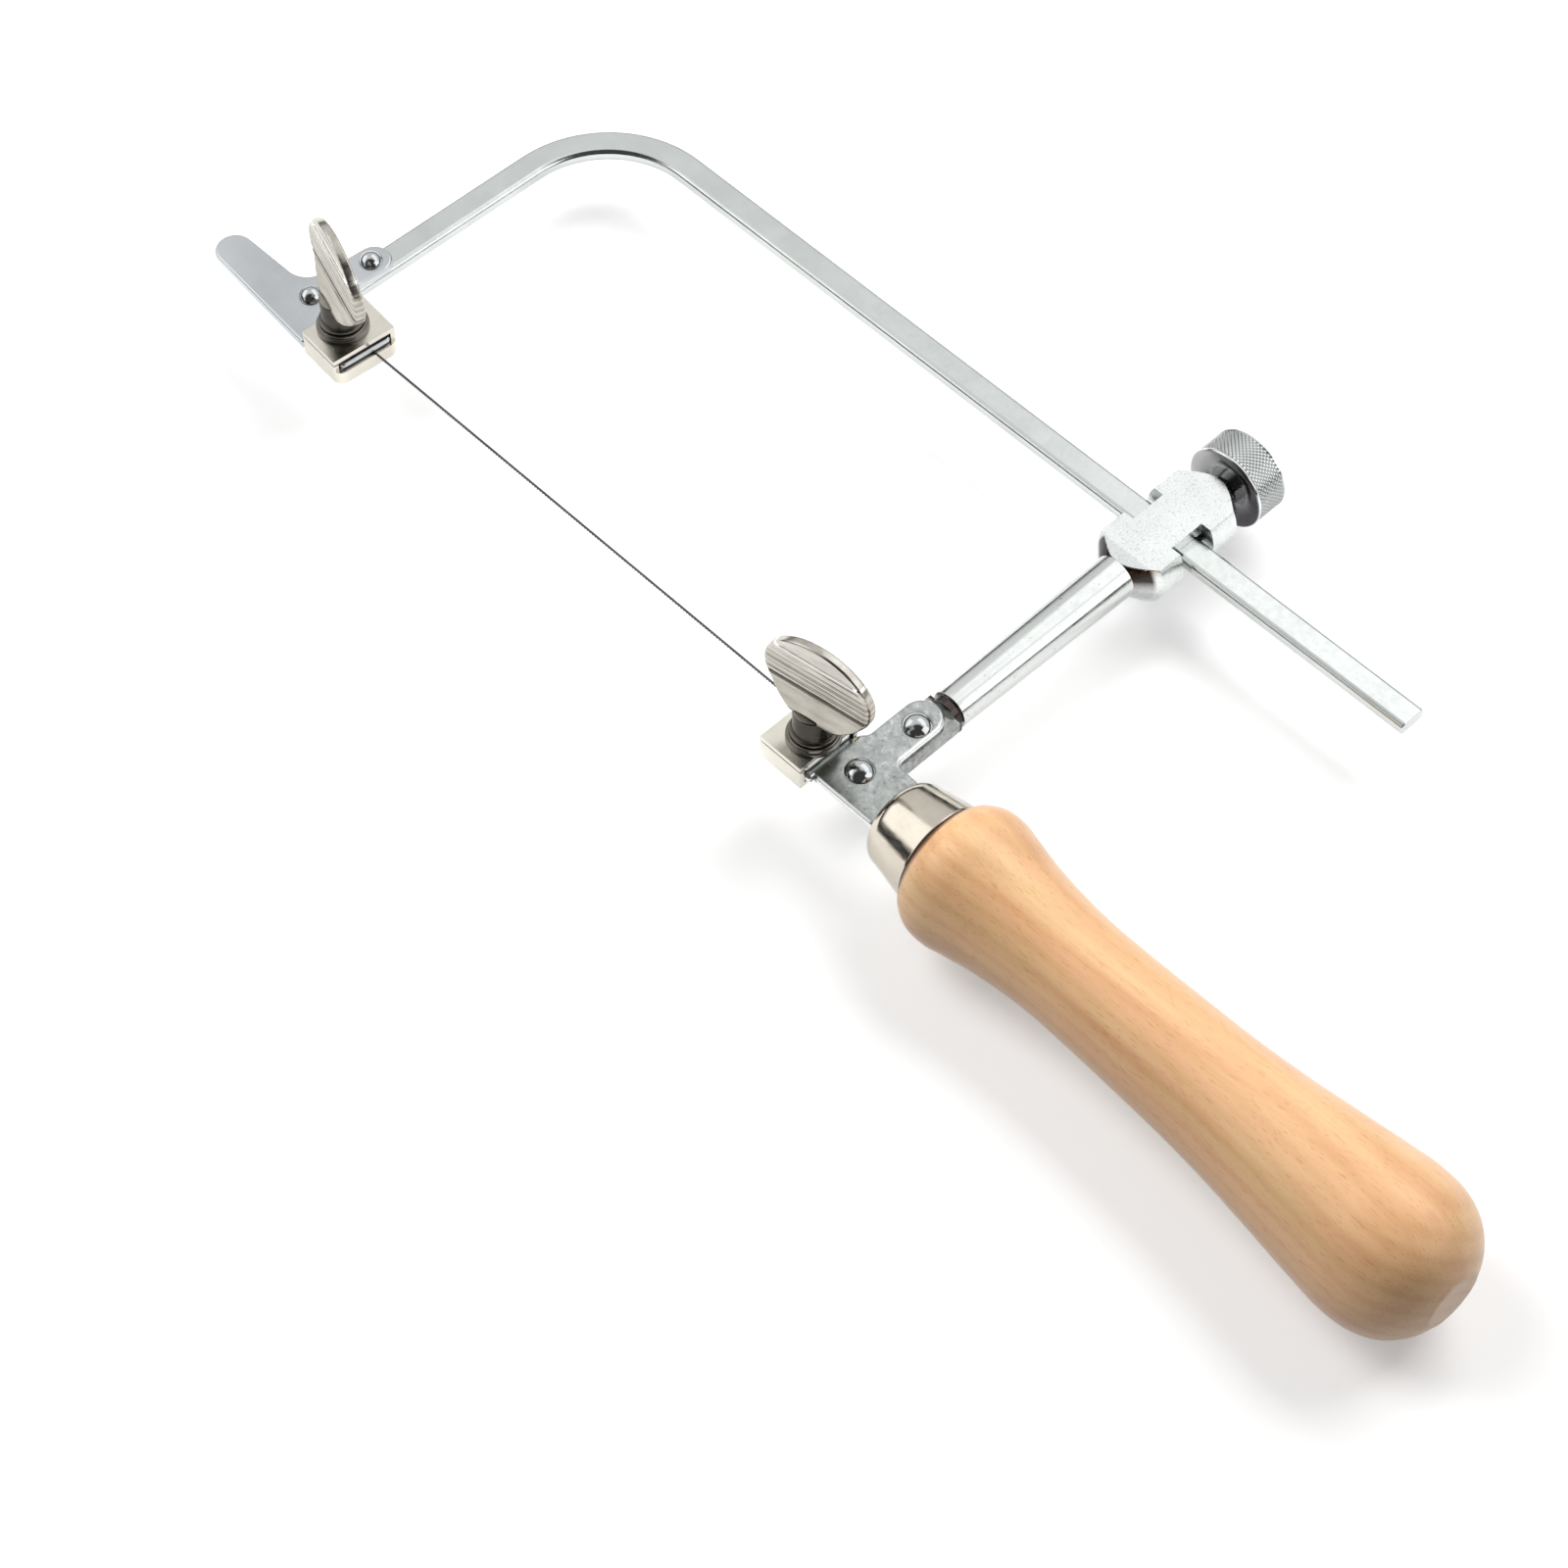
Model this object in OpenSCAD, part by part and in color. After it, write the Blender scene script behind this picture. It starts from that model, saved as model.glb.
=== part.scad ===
// Adjustable fret saw, in millimetres. The blade lies in a level plane: +X runs from
// the front clamp to the handle, +Y from the blade to the spine bar, +Z up to the wings.
// Everything is drawn from the mouth of the front clamp, on the blade, and then moved
// so that the origin lies under the middle of the whole saw, at its lowest point.

/* [Blade] */
// Length of the blade over its plain ends
blade_l = 130; // [110:1:150]
// Length of blade held in each clamp
blade_grip = 4.65; // [3:0.05:7]
// Width of the blade, from its back to the tips of its teeth
blade_w = 0.7; // [0.6:0.1:2]
// Thickness of the blade
blade_t = 0.3; // [0.2:0.05:0.6]
// Distance between two teeth
tooth_pitch = 1.3; // [1:0.1:3]
// Depth of a tooth
tooth_h = 0.25; // [0.1:0.05:0.4]

/* [Spine bar] */
// Width of the bar
bar_w = 6.4; // [5:0.1:8]
// Thickness of the bar
bar_t = 3; // [2.5:0.1:4]
// Radius of the bar's long edges
bar_edge_r = 0.7; // [0.3:0.1:1.1]
// Depth from the blade to the inner edge of the bar
throat = 77.2; // [70:1:90]
// Length of bar behind the axis of the head
bar_tail = 62; // [58:1:80]
// Radius of the inside of the bend
bend_r = 19.9; // [15:0.5:24]
// Lean of the front arm away from the handle, in degrees
arm_splay = 1.2; // [0:0.1:1.6]
// Distance from the front clamp's screw to the middle of the front arm
arm_offset = 10.7; // [10.2:0.1:11.2]
// Length of front arm past the line of the blade
arm_foot = 5; // [4:0.1:6]

/* [Plates] */
// Thickness of both plates
plate_t = 2; // [1.5:0.1:2.5]
// Turn of the front plate and its clamp about the clamp's screw, in degrees
clamp_lean = 4.8; // [4:0.1:5.5]
// Width of the finger tab at its round end
tab_w = 8; // [7:0.1:8.8]
// Width of the finger tab where it joins the front plate
tab_root_w = 9.6; // [9:0.1:10.4]
// Distance from the clamp's screw to the tip of the tab
tab_reach = 37.3; // [33:0.5:42]
// Distance from the clamp's screw to the straight edge of the tab
tab_edge = 7.5; // [7:0.1:8]
// Width of the front plate's arm
front_arm_w = 7.5; // [7:0.1:8]
// Distance from the clamp's screw to the middle of the front plate's arm
front_arm_back = 13; // [12.6:0.1:13.4]
// Distance from the clamp's screw to the centre of the arm's round end
front_arm_up = 16.5; // [16:0.1:18]
// Radius between the tab and the arm
web_r = 5; // [3:0.1:6]
// Width of the lower plate's arm
lower_arm_w = 8.5; // [8:0.1:9]
// Distance from the blade to the centre of the lower arm's round end
lower_arm_up = 14.2; // [13.8:0.1:15.5]
// Distance from the rod's axis to the middle of the lower plate's arm
lower_arm_shift = 0.8; // [0:0.1:1]
// Distance from the blade to the lower plate's straight edge
lower_edge = 9.6; // [9:0.1:10]
// Distance from the blade to the lower plate's shoulder at the ferrule
shoulder_up = 3.4; // [3:0.1:4]
// Radius inside the lower plate's corner
lower_web_r = 1.8; // [1:0.1:3]
// Radius on the lower plate's shoulder
shoulder_r = 1.6; // [0.5:0.1:2]
// Width of the tang where it enters the ferrule
tang_w = 8.6; // [7:0.1:9]
// Width of the tang at its end
tang_end_w = 5; // [3:0.1:6]
// Length of the tang inside the ferrule and the handle
tang_l = 44; // [30:1:60]

/* [Rivets] */
// Distance between the two rivets of a plate
rivet_pitch = 14.8; // [14:0.1:15.2]
// Radius of the heads of the front plate's rivets
front_rivet_r = 2.5; // [2:0.1:2.8]
// Radius of the heads of the lower plate's rivets
lower_rivet_r = 3; // [2.2:0.1:3.2]
// Height of a rivet's head
rivet_h = 1.4; // [0.8:0.1:1.8]
// Radius of a rivet's shank
rivet_shank_r = 1.3; // [1:0.05:1.5]
// Height of the closed end of a rivet, under the frame
rivet_tail_h = 0.7; // [0.4:0.1:1]
// Radius of the closed end of a rivet
rivet_tail_r = 2.2; // [1.8:0.1:2.5]
// Distance from the clamp's screw to the front plate's first rivet, across the blade
front_rivet_up = 1; // [0.5:0.1:1.5]
// Distance from the blade to the lower plate's first rivet
lower_rivet_down = 2.6; // [2.2:0.1:3]

/* [Blade clamps] */
// Thickness of the sheet of a clamp's sleeve
sheet_t = 1.1; // [0.8:0.05:1.3]
// Width of a sleeve over its walls
sleeve_w = 14.8; // [14.6:0.1:16]
// Length of a sleeve's top sheet
sleeve_l = 10.6; // [9.5:0.1:11]
// Distance from the clamp's screw to the mouth of the clamp
mouth = 8; // [7.8:0.1:8.6]
// Distance from the clamp's screw to the edge of the top sheet at the mouth
sheet_reach = 6.8; // [6.2:0.1:7.2]
// Radius of the sleeve's lower corners at the mouth
mouth_r = 2.2; // [1:0.1:3]
// Distance from the clamp's screw to the sleeve's centre line
sleeve_shift = 0.2; // [0:0.05:0.6]
// Height of the open seam in the sleeve's outer wall
seam = 0.3; // [0.2:0.05:0.5]
// Thickness of a jaw
jaw_t = 1.1; // [0.8:0.05:1.5]
// Width of a jaw
jaw_w = 12; // [10:0.1:12.4]
// Radius of a jaw's corners
jaw_r = 1; // [0.5:0.1:2]
// Height through which a jaw is lifted to free the blade
jaw_lift = 0.4; // [0.2:0.05:0.8]
// Distance from the blade to the front clamp's screw
front_screw_down = 1.6; // [1.2:0.1:2]
// Distance from the blade to the lower clamp's screw
lower_screw_down = 4.6; // [4.2:0.1:5]
// Radius of the foot ring of a clamp's bush
bush_r = 5.3; // [4.8:0.1:5.8]
// Radius of the bush above its foot ring
bush_top_r = 4.9; // [4.4:0.1:5.2]
// Height of the bush's foot ring
bush_ring_h = 0.9; // [0.5:0.1:1.3]
// Height of the bush above the sheet
bush_h = 1.8; // [1.5:0.1:2.5]
// Radius of the bush's barrel in the sheet
bush_barrel_r = 3.6; // [3.3:0.1:4.2]

/* [Wing screws] */
// Radius of the threaded shank
shank_r = 2.5; // [2:0.1:2.8]
// Radius of the collar over the bush
collar_r = 4.6; // [4.2:0.1:4.9]
// Height of the collar
collar_h = 0.9; // [0.5:0.1:1.3]
// Radius of the neck
neck_r = 4; // [3.6:0.1:4.2]
// Height of the neck over the collar
neck_h = 3; // [2:0.1:4]
// Width of the wing
wing_w = 23.8; // [20:0.2:24.4]
// Height of the oval part of the wing
wing_h = 19.6; // [16:0.2:21]
// Thickness of the wing
wing_t = 2.6; // [2:0.1:3.5]
// Height of the middle of the wing above the blade
wing_z = 20.2; // [19.5:0.1:23]
// Distance from the screw's axis to the middle of the wing
wing_shift = 1.3; // [0:0.1:2]
// Number of grooves across each face of the wing
wing_grooves = 6; // [3:1:8]
// Height of the grooved band
groove_band = 9.4; // [7:0.1:11]
// Depth of a groove
groove_d = 0.35; // [0.2:0.05:0.5]
// Turn of the front wing away from the blade, in degrees
front_wing_turn = -18; // [-30:1:0]
// Turn of the lower wing away from the blade, in degrees
lower_wing_turn = 9; // [0:0.5:20]

/* [Rod and head] */
// Distance from the lower clamp's screw to the axis of the rod
rod_offset = 10.1; // [9.8:0.1:10.6]
// Radius of the rod at the plate
rod_r = 4.06; // [3.8:0.02:4.3]
// Radius of the rod at the head
rod_head_r = 4.69; // [4.5:0.01:5]
// Width of the flat tongue under the lower plate
tongue_w = 8.4; // [7.6:0.1:9]
// Length of tongue past the line of the blade
tongue_foot = 6; // [5.4:0.1:7]
// Distance from the blade to the rod's groove
groove_up = 19.2; // [19:0.1:20]
// Width of the groove at the foot of the rod
rod_groove_l = 1.6; // [1:0.1:2]
// Radius of the rod in its groove
rod_groove_r = 3.4; // [3:0.1:3.7]
// Radius of the head
head_r = 8.6; // [8:0.1:9.4]
// Length of the head
head_l = 28.7; // [26.5:0.1:31]
// Length of the cone at each end of the head
head_cone_l = 4; // [3:0.1:5]
// Height of the flat on top of the head over the head's axis
head_flat = 4.6; // [4.2:0.1:5.2]
// Length of head between its rod end and the inner edge of the bar
head_lead = 11.1; // [10.5:0.1:12]
// Width of the gap between the bar and the outer side of the slot
slot_gap = 0.6; // [0.4:0.1:2]
// Distance from the head's axis to the bottom of the side notches
notch_x = 5; // [4.6:0.1:6.5]
// Length of notch past the inner edge of the bar
notch_lead = 1.4; // [0.5:0.1:1.6]
// Radius of the rod's end in the head
spigot_r = 3; // [2.5:0.1:3.4]
// Length of the rod's end in the head
spigot_l = 7; // [5:0.1:8]

/* [Clamp knob] */
// Radius of the clamp screw's thread
screw_r = 3; // [2.5:0.1:3.2]
// Radius of the pressure shoe
shoe_r = 3.4; // [3.2:0.1:3.8]
// Thickness of the pressure shoe
shoe_t = 1.4; // [1:0.1:1.6]
// Distance that the screw and the shoe move back to free the bar
shoe_travel = 1; // [0.5:0.1:1.2]
// Radius of the knob
knob_r = 9; // [8:0.1:10]
// Length of the knob
knob_l = 9.3; // [7:0.1:11]
// Width of the chamfer at the knob's outer end
knob_chamfer = 1.7; // [0.8:0.1:2]
// Width of the chamfer at the knob's inner end
knob_edge = 0.5; // [0.2:0.1:1]
// Length of screw between the head and the knob
knob_gap = 1.9; // [1.5:0.1:5]
// Radius of the dish in the knob's outer face
dish_r = 5.6; // [4:0.1:7]
// Depth of the dish
dish_d = 0.5; // [0.2:0.1:1]

/* [Handle] */
// Distance from the blade to the axis of the handle
handle_down = 4.5; // [4.4:0.1:5]
// Lean of the handle away from the line of the blade, in degrees
handle_lean = 1.2; // [0:0.1:1.5]
// Distance from the rod's axis to the front rim of the ferrule
ferrule_offset = 10.9; // [10.2:0.1:11.6]
// Length of the ferrule
ferrule_l = 12.1; // [10:0.1:15]
// Radius of the ferrule at its front rim
ferrule_r = 9.2; // [9:0.1:10.2]
// Radius of the ferrule at the wood
ferrule_back_r = 10.8; // [10.3:0.1:11]
// Thickness of the ferrule's wall
ferrule_wall = 1; // [0.7:0.05:1.4]
// Radius of the ferrule's front rim
rim_r = 3.6; // [2:0.1:4]
// Length of the wood behind the ferrule
handle_l = 123; // [110:1:140]
// Largest radius of the handle
handle_r = 16; // [15.5:0.1:18]

/* [Fits] */
// Running clearance of screws, jaws and the bar
run_fit = 0.05; // [0.03:0.01:0.08]
// Clearance round pieces that are fixed together
seat_fit = 0.03; // [0.02:0.01:0.05]
// Gap between loose pieces that move past each other
loose_gap = 0.1; // [0.08:0.01:0.2]

/* [Hidden] */

// Round surfaces are drawn with this many sides, and hulls and offsets with fewer
round_n = 96;
hull_n = 32;
// Length by which a cut runs past the faces that it opens
overrun = 1;
// How far the front arm starts inside the bend, and how much slimmer each side of it is
arm_overlap = 0.4;
arm_ease = 0.015;

// Stations and radii of the wood behind the ferrule, as shares of its length and radius
handle_shares = [
    [0, 0.7], [0.012, 0.8], [0.036, 0.885], [0.066, 0.895], [0.102, 0.84],
    [0.16, 0.755], [0.254, 0.686], [0.348, 0.688], [0.442, 0.71], [0.536, 0.738],
    [0.63, 0.793], [0.724, 0.876], [0.818, 0.964], [0.868, 1], [0.915, 0.97],
    [0.955, 0.84], [0.984, 0.62], [1, 0.38]
];
// Each stretch between two stations is drawn with this many short cones
stretch_n = 3;
// Height share of the grooved band's middle on the wing
band_share = 0.09;
// Half angle of a tooth's back, as a share of its pitch
tooth_back_share = 0.8;

// Places along the blade, where span is its free length between the two clamps
span = blade_l - 2 * blade_grip;
front_screw = [-mouth, -front_screw_down];
lower_screw = [span + mouth, -lower_screw_down];
rod_x = lower_screw.x + rod_offset;
ferrule_x = rod_x + ferrule_offset;
shoulder_x = ferrule_x - seat_fit - (lower_edge - handle_down) * tan(handle_lean);
blade_start = -blade_grip;

// Heights
bar_z = -plate_t - bar_t / 2;
jaw_z = blade_t + 2 * run_fit;
jaw_top = jaw_z + jaw_t;
sheet_z = jaw_top + jaw_lift + loose_gap;
sheet_top = sheet_z + sheet_t;
bush_top = sheet_top + bush_h;
collar_z = bush_top + loose_gap;
neck_z = collar_z + collar_h;
handle_z = -plate_t / 2;

// Spine bar
bend_mid_r = bend_r + bar_w / 2;
bar_y = throat + bar_w / 2;
bend_x = front_screw.x - arm_offset + bend_mid_r;
bend_y = bar_y - bend_mid_r;
arm_turn = 180 - arm_splay;
bar_end = rod_x + bar_tail;

// Head, from its rod end outward
head_y = throat - head_lead;
head_end = head_y + head_l;
slot_y = throat - run_fit;
slot_end = throat + bar_w + slot_gap;
shoe_y = throat + bar_w + run_fit;
screw_y = shoe_y + shoe_t + run_fit;
shoe_bore_end = shoe_y + shoe_t + shoe_travel + 2 * loose_gap;
knob_y = head_end + knob_gap;
knob_end = knob_y + knob_l;

// Sleeve
sleeve_in = sleeve_w / 2 - sheet_t;
plate_neck = sleeve_in - seat_fit;
sleeve_back = sleeve_l - sheet_reach;
plate_end = mouth - sheet_t - seat_fit;

// A point on a smooth curve that passes through four points a, b, c, d, between b and c
function curve_at(a, b, c, d, t) =
    (2 * b + t * (c - a) + t * t * (2 * a - 5 * b + 4 * c - d)
        + t * t * t * (3 * b - 3 * c + d - a)) / 2;

function smooth(p, steps) = [
    for (i = [0 : len(p) - 2], k = [0 : steps - 1])
        curve_at(p[max(i - 1, 0)], p[i], p[i + 1], p[min(i + 2, len(p) - 1)], k / steps),
    p[len(p) - 1]
];

// Distance behind the ferrule's front and radius of the wood, along its outline
wood_line = [
    for (p = smooth(handle_shares, stretch_n)) [ferrule_l + p.x * handle_l, p.y * handle_r]
];

// Corners of the whole saw, and its reference point
tab_centre = [tab_w / 2 - tab_reach, tab_w / 2 - tab_edge];
saw_x0 = front_screw.x + tab_centre.x * cos(clamp_lean) + tab_centre.y * sin(clamp_lean) - tab_w / 2;
saw_x1 = ferrule_x + max([for (p = wood_line) p.x * cos(handle_lean) + p.y * sin(handle_lean)]);
saw_y0 = min([for (p = wood_line) -p.x * sin(handle_lean) - p.y * cos(handle_lean)]) - handle_down;
saw_z0 = handle_z - handle_r;
origin = [(saw_x0 + saw_x1) / 2, (saw_y0 + knob_end) / 2, saw_z0];

// Puts its children in the saw's own frame
module placed() {
    translate(-origin) children();
}

// The clamps are drawn round their screw, with the mouth towards +X
module at_front() {
    placed() translate(front_screw) rotate([0, 0, -clamp_lean]) children();
}

module at_lower() {
    placed() translate(lower_screw) mirror([1, 0, 0]) children();
}

// Stands a turned piece, drawn along +Z, along +Y
module along_y(x, y, z) {
    placed() translate([x, y, z]) rotate([-90, 0, 0]) children();
}

// The handle leans about the middle of the ferrule's front
module at_handle() {
    translate([ferrule_x, -handle_down]) rotate([0, 0, -handle_lean]) children();
}

module along_handle() {
    placed() at_handle() translate([0, 0, handle_z]) rotate([0, 90, 0]) children();
}

// Section of the bar, each side drawn in by ease
module bar_section(ease) {
    flat = [bar_w - 2 * bar_edge_r, bar_t - 2 * bar_edge_r];
    square([bar_w - 2 * ease, flat.y], center = true);
    square([flat.x, bar_t - 2 * ease], center = true);
    for (sx = [-1, 1], sy = [-1, 1])
        translate([sx * flat.x / 2, sy * flat.y / 2]) circle(r = bar_edge_r - ease, $fn = hull_n);
}

// The arm starts a little way inside the bend, and is slimmer there by a hair
module frame_bar() {
    arm_l = (bend_y + arm_foot) / cos(arm_splay) + bend_mid_r * tan(arm_splay) + arm_overlap;
    color("silver") difference() {
        placed() translate([bend_x, bend_y, bar_z]) union() {
            translate([0, bend_mid_r, 0]) rotate([90, 0, 90])
                linear_extrude(bar_end - bend_x) bar_section(0);
            rotate([0, 0, 90]) rotate_extrude(angle = 90 - arm_splay, $fn = round_n)
                translate([bend_mid_r, 0]) bar_section(0);
            rotate([0, 0, arm_turn]) translate([bend_mid_r, -arm_overlap, 0])
                rotate([-90, 0, 0]) linear_extrude(arm_l) bar_section(arm_ease);
        }
        at_front() front_rivet_holes();
    }
}

// The places of the two rivets of a plate, up from the first one
module rivet_row(x, y) {
    for (k = [0, 1]) translate([x, y + k * rivet_pitch, 0]) children();
}

module rivet_hole() {
    translate([0, 0, -plate_t - bar_t - overrun])
        cylinder(h = plate_t + bar_t + 2 * overrun, r = rivet_shank_r + seat_fit, $fn = hull_n);
}

module rivet(r) {
    translate([0, 0, -plate_t - bar_t])
        cylinder(h = plate_t + bar_t, r = rivet_shank_r, $fn = hull_n);
    rivet_cap(r, rivet_h);
    translate([0, 0, -plate_t - bar_t]) mirror([0, 0, 1]) rivet_cap(rivet_tail_r, rivet_tail_h);
}

// A low dome of radius r and height h, on the plane z = 0
module rivet_cap(r, h) {
    ball_r = (r * r + h * h) / (2 * h);
    intersection() {
        translate([0, 0, h - ball_r]) sphere(r = ball_r, $fn = round_n);
        cylinder(h = h, r = r, $fn = round_n);
    }
}

module front_rivet_holes() {
    rivet_row(-front_arm_back, front_rivet_up) rivet_hole();
}

module front_plate_outline() {
    arm_x = -front_arm_back - front_arm_w / 2;
    offset(r = -web_r, $fn = round_n) offset(delta = web_r) union() {
        hull() {
            translate(tab_centre) circle(d = tab_w, $fn = round_n);
            translate([arm_x, -tab_edge]) square([front_arm_w, tab_root_w]);
        }
        translate([arm_x, -tab_edge]) square([front_arm_w, front_arm_up + tab_edge]);
        translate([-front_arm_back, front_arm_up]) circle(d = front_arm_w, $fn = round_n);
        translate([arm_x, -tab_edge])
            square([-arm_x - sleeve_back - loose_gap, tab_edge + sleeve_shift + plate_neck]);
    }
}

module front_plate() {
    color("gainsboro") difference() {
        at_front() translate([0, 0, -plate_t]) linear_extrude(plate_t) {
            front_plate_outline();
            plate_tongue(front_arm_back);
        }
        at_front() front_rivet_holes();
    }
}

// The part of a plate that runs into the sleeve, from a place behind the screw
module plate_tongue(back) {
    translate([-back, sleeve_shift - plate_neck]) square([back + plate_end, 2 * plate_neck]);
}

module front_rivets() {
    color("white") at_front() rivet_row(-front_arm_back, front_rivet_up) rivet(front_rivet_r);
}

module sleeve_strip(y, z, w, h) {
    translate([-sleeve_back, sleeve_shift + y, z]) cube([sleeve_l, w, h]);
}

// One strip folded round the plate, from an open seam under the top sheet's outer edge
module clamp_sleeve() {
    half = sleeve_w / 2;
    tray_h = sheet_t + plate_t;
    difference() {
        union() {
            translate([0, sleeve_shift, -tray_h]) linear_extrude(tray_h) hull() {
                translate([-sleeve_back, -half]) square([sleeve_l - mouth_r, sleeve_w]);
                for (s = [-1, 1])
                    translate([mouth - mouth_r, s * (half - mouth_r)]) circle(mouth_r, $fn = hull_n);
            }
            sleeve_strip(-half, -sheet_t, sheet_t, sheet_z + sheet_t - seam);
            sleeve_strip(half - sheet_t, -sheet_t, sheet_t, sheet_top + sheet_t);
            sleeve_strip(-half, sheet_z, sleeve_w, sheet_t);
        }
        translate([-sleeve_back - overrun, sleeve_shift - sleeve_in, -plate_t])
            cube([sleeve_back + overrun + mouth - sheet_t, 2 * sleeve_in, plate_t + overrun / 2]);
        translate([0, 0, sheet_z - overrun])
            cylinder(h = sheet_t + 2 * overrun, r = bush_barrel_r + seat_fit, $fn = round_n);
    }
}

module screw_bush() {
    bore_r = shank_r + run_fit;
    rotate_extrude($fn = round_n) polygon([
        [bore_r, sheet_z], [bush_barrel_r, sheet_z], [bush_barrel_r, sheet_top],
        [bush_r, sheet_top], [bush_r, sheet_top + bush_ring_h],
        [bush_top_r, sheet_top + bush_ring_h], [bush_top_r, bush_top], [bore_r, bush_top]
    ]);
}

module jaw() {
    x0 = loose_gap - sleeve_back;
    x1 = mouth - jaw_r / 2;
    translate([0, sleeve_shift, jaw_z]) linear_extrude(jaw_t) hull()
        for (x = [x0 + jaw_r, x1 - jaw_r], s = [-1, 1])
            translate([x, s * (jaw_w / 2 - jaw_r)]) circle(jaw_r, $fn = hull_n);
}

module wing_outline() {
    hull() {
        translate([wing_shift, wing_z]) resize([wing_w, wing_h]) circle(d = wing_w, $fn = round_n);
        translate([-neck_r, neck_z + neck_h]) square([2 * neck_r, collar_h]);
    }
}

module wing_screw() {
    neck_top = neck_z + neck_h;
    groove_step = groove_band / (wing_grooves - 1);
    band_z = wing_z + band_share * wing_h - groove_band / 2;
    tip_z = jaw_top + run_fit;
    translate([0, 0, tip_z]) cylinder(h = collar_z - tip_z, r = shank_r, $fn = round_n);
    translate([0, 0, collar_z]) cylinder(h = collar_h, r = collar_r, $fn = round_n);
    translate([0, 0, neck_z]) cylinder(h = neck_h, r = neck_r, $fn = round_n);
    hull() {
        translate([0, 0, neck_top]) cylinder(h = collar_h, r = neck_r, $fn = hull_n);
        translate([-neck_r, -wing_t / 2, neck_top]) cube([2 * neck_r, wing_t, wing_h / 3]);
    }
    difference() {
        translate([0, wing_t / 2, 0]) rotate([90, 0, 0]) linear_extrude(wing_t) wing_outline();
        for (k = [0 : wing_grooves - 1], s = [-1, 1])
            translate([wing_shift, s * wing_t / 2, band_z + k * groove_step]) rotate([45, 0, 0])
                cube([wing_w + overrun, groove_d * sqrt(2), groove_d * sqrt(2)], center = true);
    }
}

module front_clamp_sleeve() {
    color("wheat") at_front() clamp_sleeve();
}

module front_screw_bush() {
    color("dimgray") at_front() screw_bush();
}

module front_jaw() {
    color("lightgray") at_front() jaw();
}

module front_wing_screw() {
    color("tan") placed() translate(front_screw) rotate([0, 0, front_wing_turn]) wing_screw();
}

// The blade's back lies on the line of the blade, and its teeth point towards the handle
module saw_blade() {
    root_y = tooth_h - blade_w;
    teeth = floor(span / tooth_pitch);
    first = (span - teeth * tooth_pitch) / 2;
    color("dimgray") placed() translate([0, 0, run_fit]) linear_extrude(blade_t) polygon(concat(
        [[blade_start + blade_l, root_y], [blade_start + blade_l, 0],
            [blade_start, 0], [blade_start, root_y]],
        [for (k = [0 : teeth - 1], p = [[0, root_y], [tooth_back_share, -blade_w]])
            [first + (k + p.x) * tooth_pitch, p.y]],
        [[first + teeth * tooth_pitch, root_y]]
    ));
}

module lower_rivet_holes() {
    rivet_row(rod_x, -lower_rivet_down) rivet_hole();
}

module lower_plate_outline() {
    body_x = lower_screw.x + sleeve_back + loose_gap;
    arm_x = rod_x - lower_arm_shift - lower_arm_w / 2;
    offset(r = shoulder_r, $fn = hull_n) offset(delta = -shoulder_r)
        offset(r = -lower_web_r, $fn = round_n) offset(delta = lower_web_r) union() {
            translate([body_x, -lower_edge])
                square([shoulder_x - body_x, lower_edge + shoulder_up]);
            translate([arm_x, -lower_edge]) square([lower_arm_w, lower_edge + lower_arm_up]);
            translate([arm_x + lower_arm_w / 2, lower_arm_up])
                circle(d = lower_arm_w, $fn = round_n);
        }
}

// Outline of the tang, grown by a clearance
module tang_outline(gap) {
    x0 = -ferrule_offset / 2;
    x1 = tang_l + gap;
    at_handle() polygon([
        [x0, -tang_w / 2 - gap], [0, -tang_w / 2 - gap], [x1, -tang_end_w / 2 - gap],
        [x1, tang_end_w / 2 + gap], [0, tang_w / 2 + gap], [x0, tang_w / 2 + gap]
    ]);
}

module tang_pocket() {
    placed() translate([0, 0, -plate_t - seat_fit])
        linear_extrude(plate_t + 2 * seat_fit) tang_outline(seat_fit);
}

module lower_plate() {
    color("darkgray") difference() {
        union() {
            placed() translate([0, 0, -plate_t]) linear_extrude(plate_t) {
                lower_plate_outline();
                tang_outline(0);
            }
            at_lower() translate([0, 0, -plate_t]) linear_extrude(plate_t)
                plate_tongue(rod_offset / 2);
        }
        placed() lower_rivet_holes();
    }
}

module lower_rivets() {
    color("white") placed() rivet_row(rod_x, -lower_rivet_down) rivet(lower_rivet_r);
}

module lower_clamp_sleeve() {
    color("wheat") at_lower() clamp_sleeve();
}

module lower_screw_bush() {
    color("dimgray") at_lower() screw_bush();
}

module lower_jaw() {
    color("lightgray") at_lower() jaw();
}

module lower_wing_screw() {
    color("tan") placed() translate(lower_screw) rotate([0, 0, lower_wing_turn]) wing_screw();
}

// A flat tongue under the plate and a round, slightly tapered rod up to the head
module arm_rod() {
    rod_l = head_y - groove_up;
    color("silver") difference() {
        union() {
            along_y(rod_x, groove_up, bar_z) rotate_extrude($fn = round_n) polygon([
                [0, 0], [rod_groove_r, 0], [rod_groove_r, rod_groove_l], [rod_r, rod_groove_l],
                [rod_head_r, rod_l], [spigot_r, rod_l], [spigot_r, rod_l + spigot_l],
                [0, rod_l + spigot_l]
            ]);
            placed() translate([rod_x, -tongue_foot, -plate_t - bar_t]) {
                translate([-tongue_w / 2, tongue_w / 2, 0])
                    cube([tongue_w, groove_up + tongue_foot - tongue_w / 2 + rod_groove_l / 2, bar_t]);
                translate([0, tongue_w / 2, 0]) cylinder(h = bar_t, d = tongue_w, $fn = round_n);
            }
        }
        placed() lower_rivet_holes();
    }
}

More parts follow.
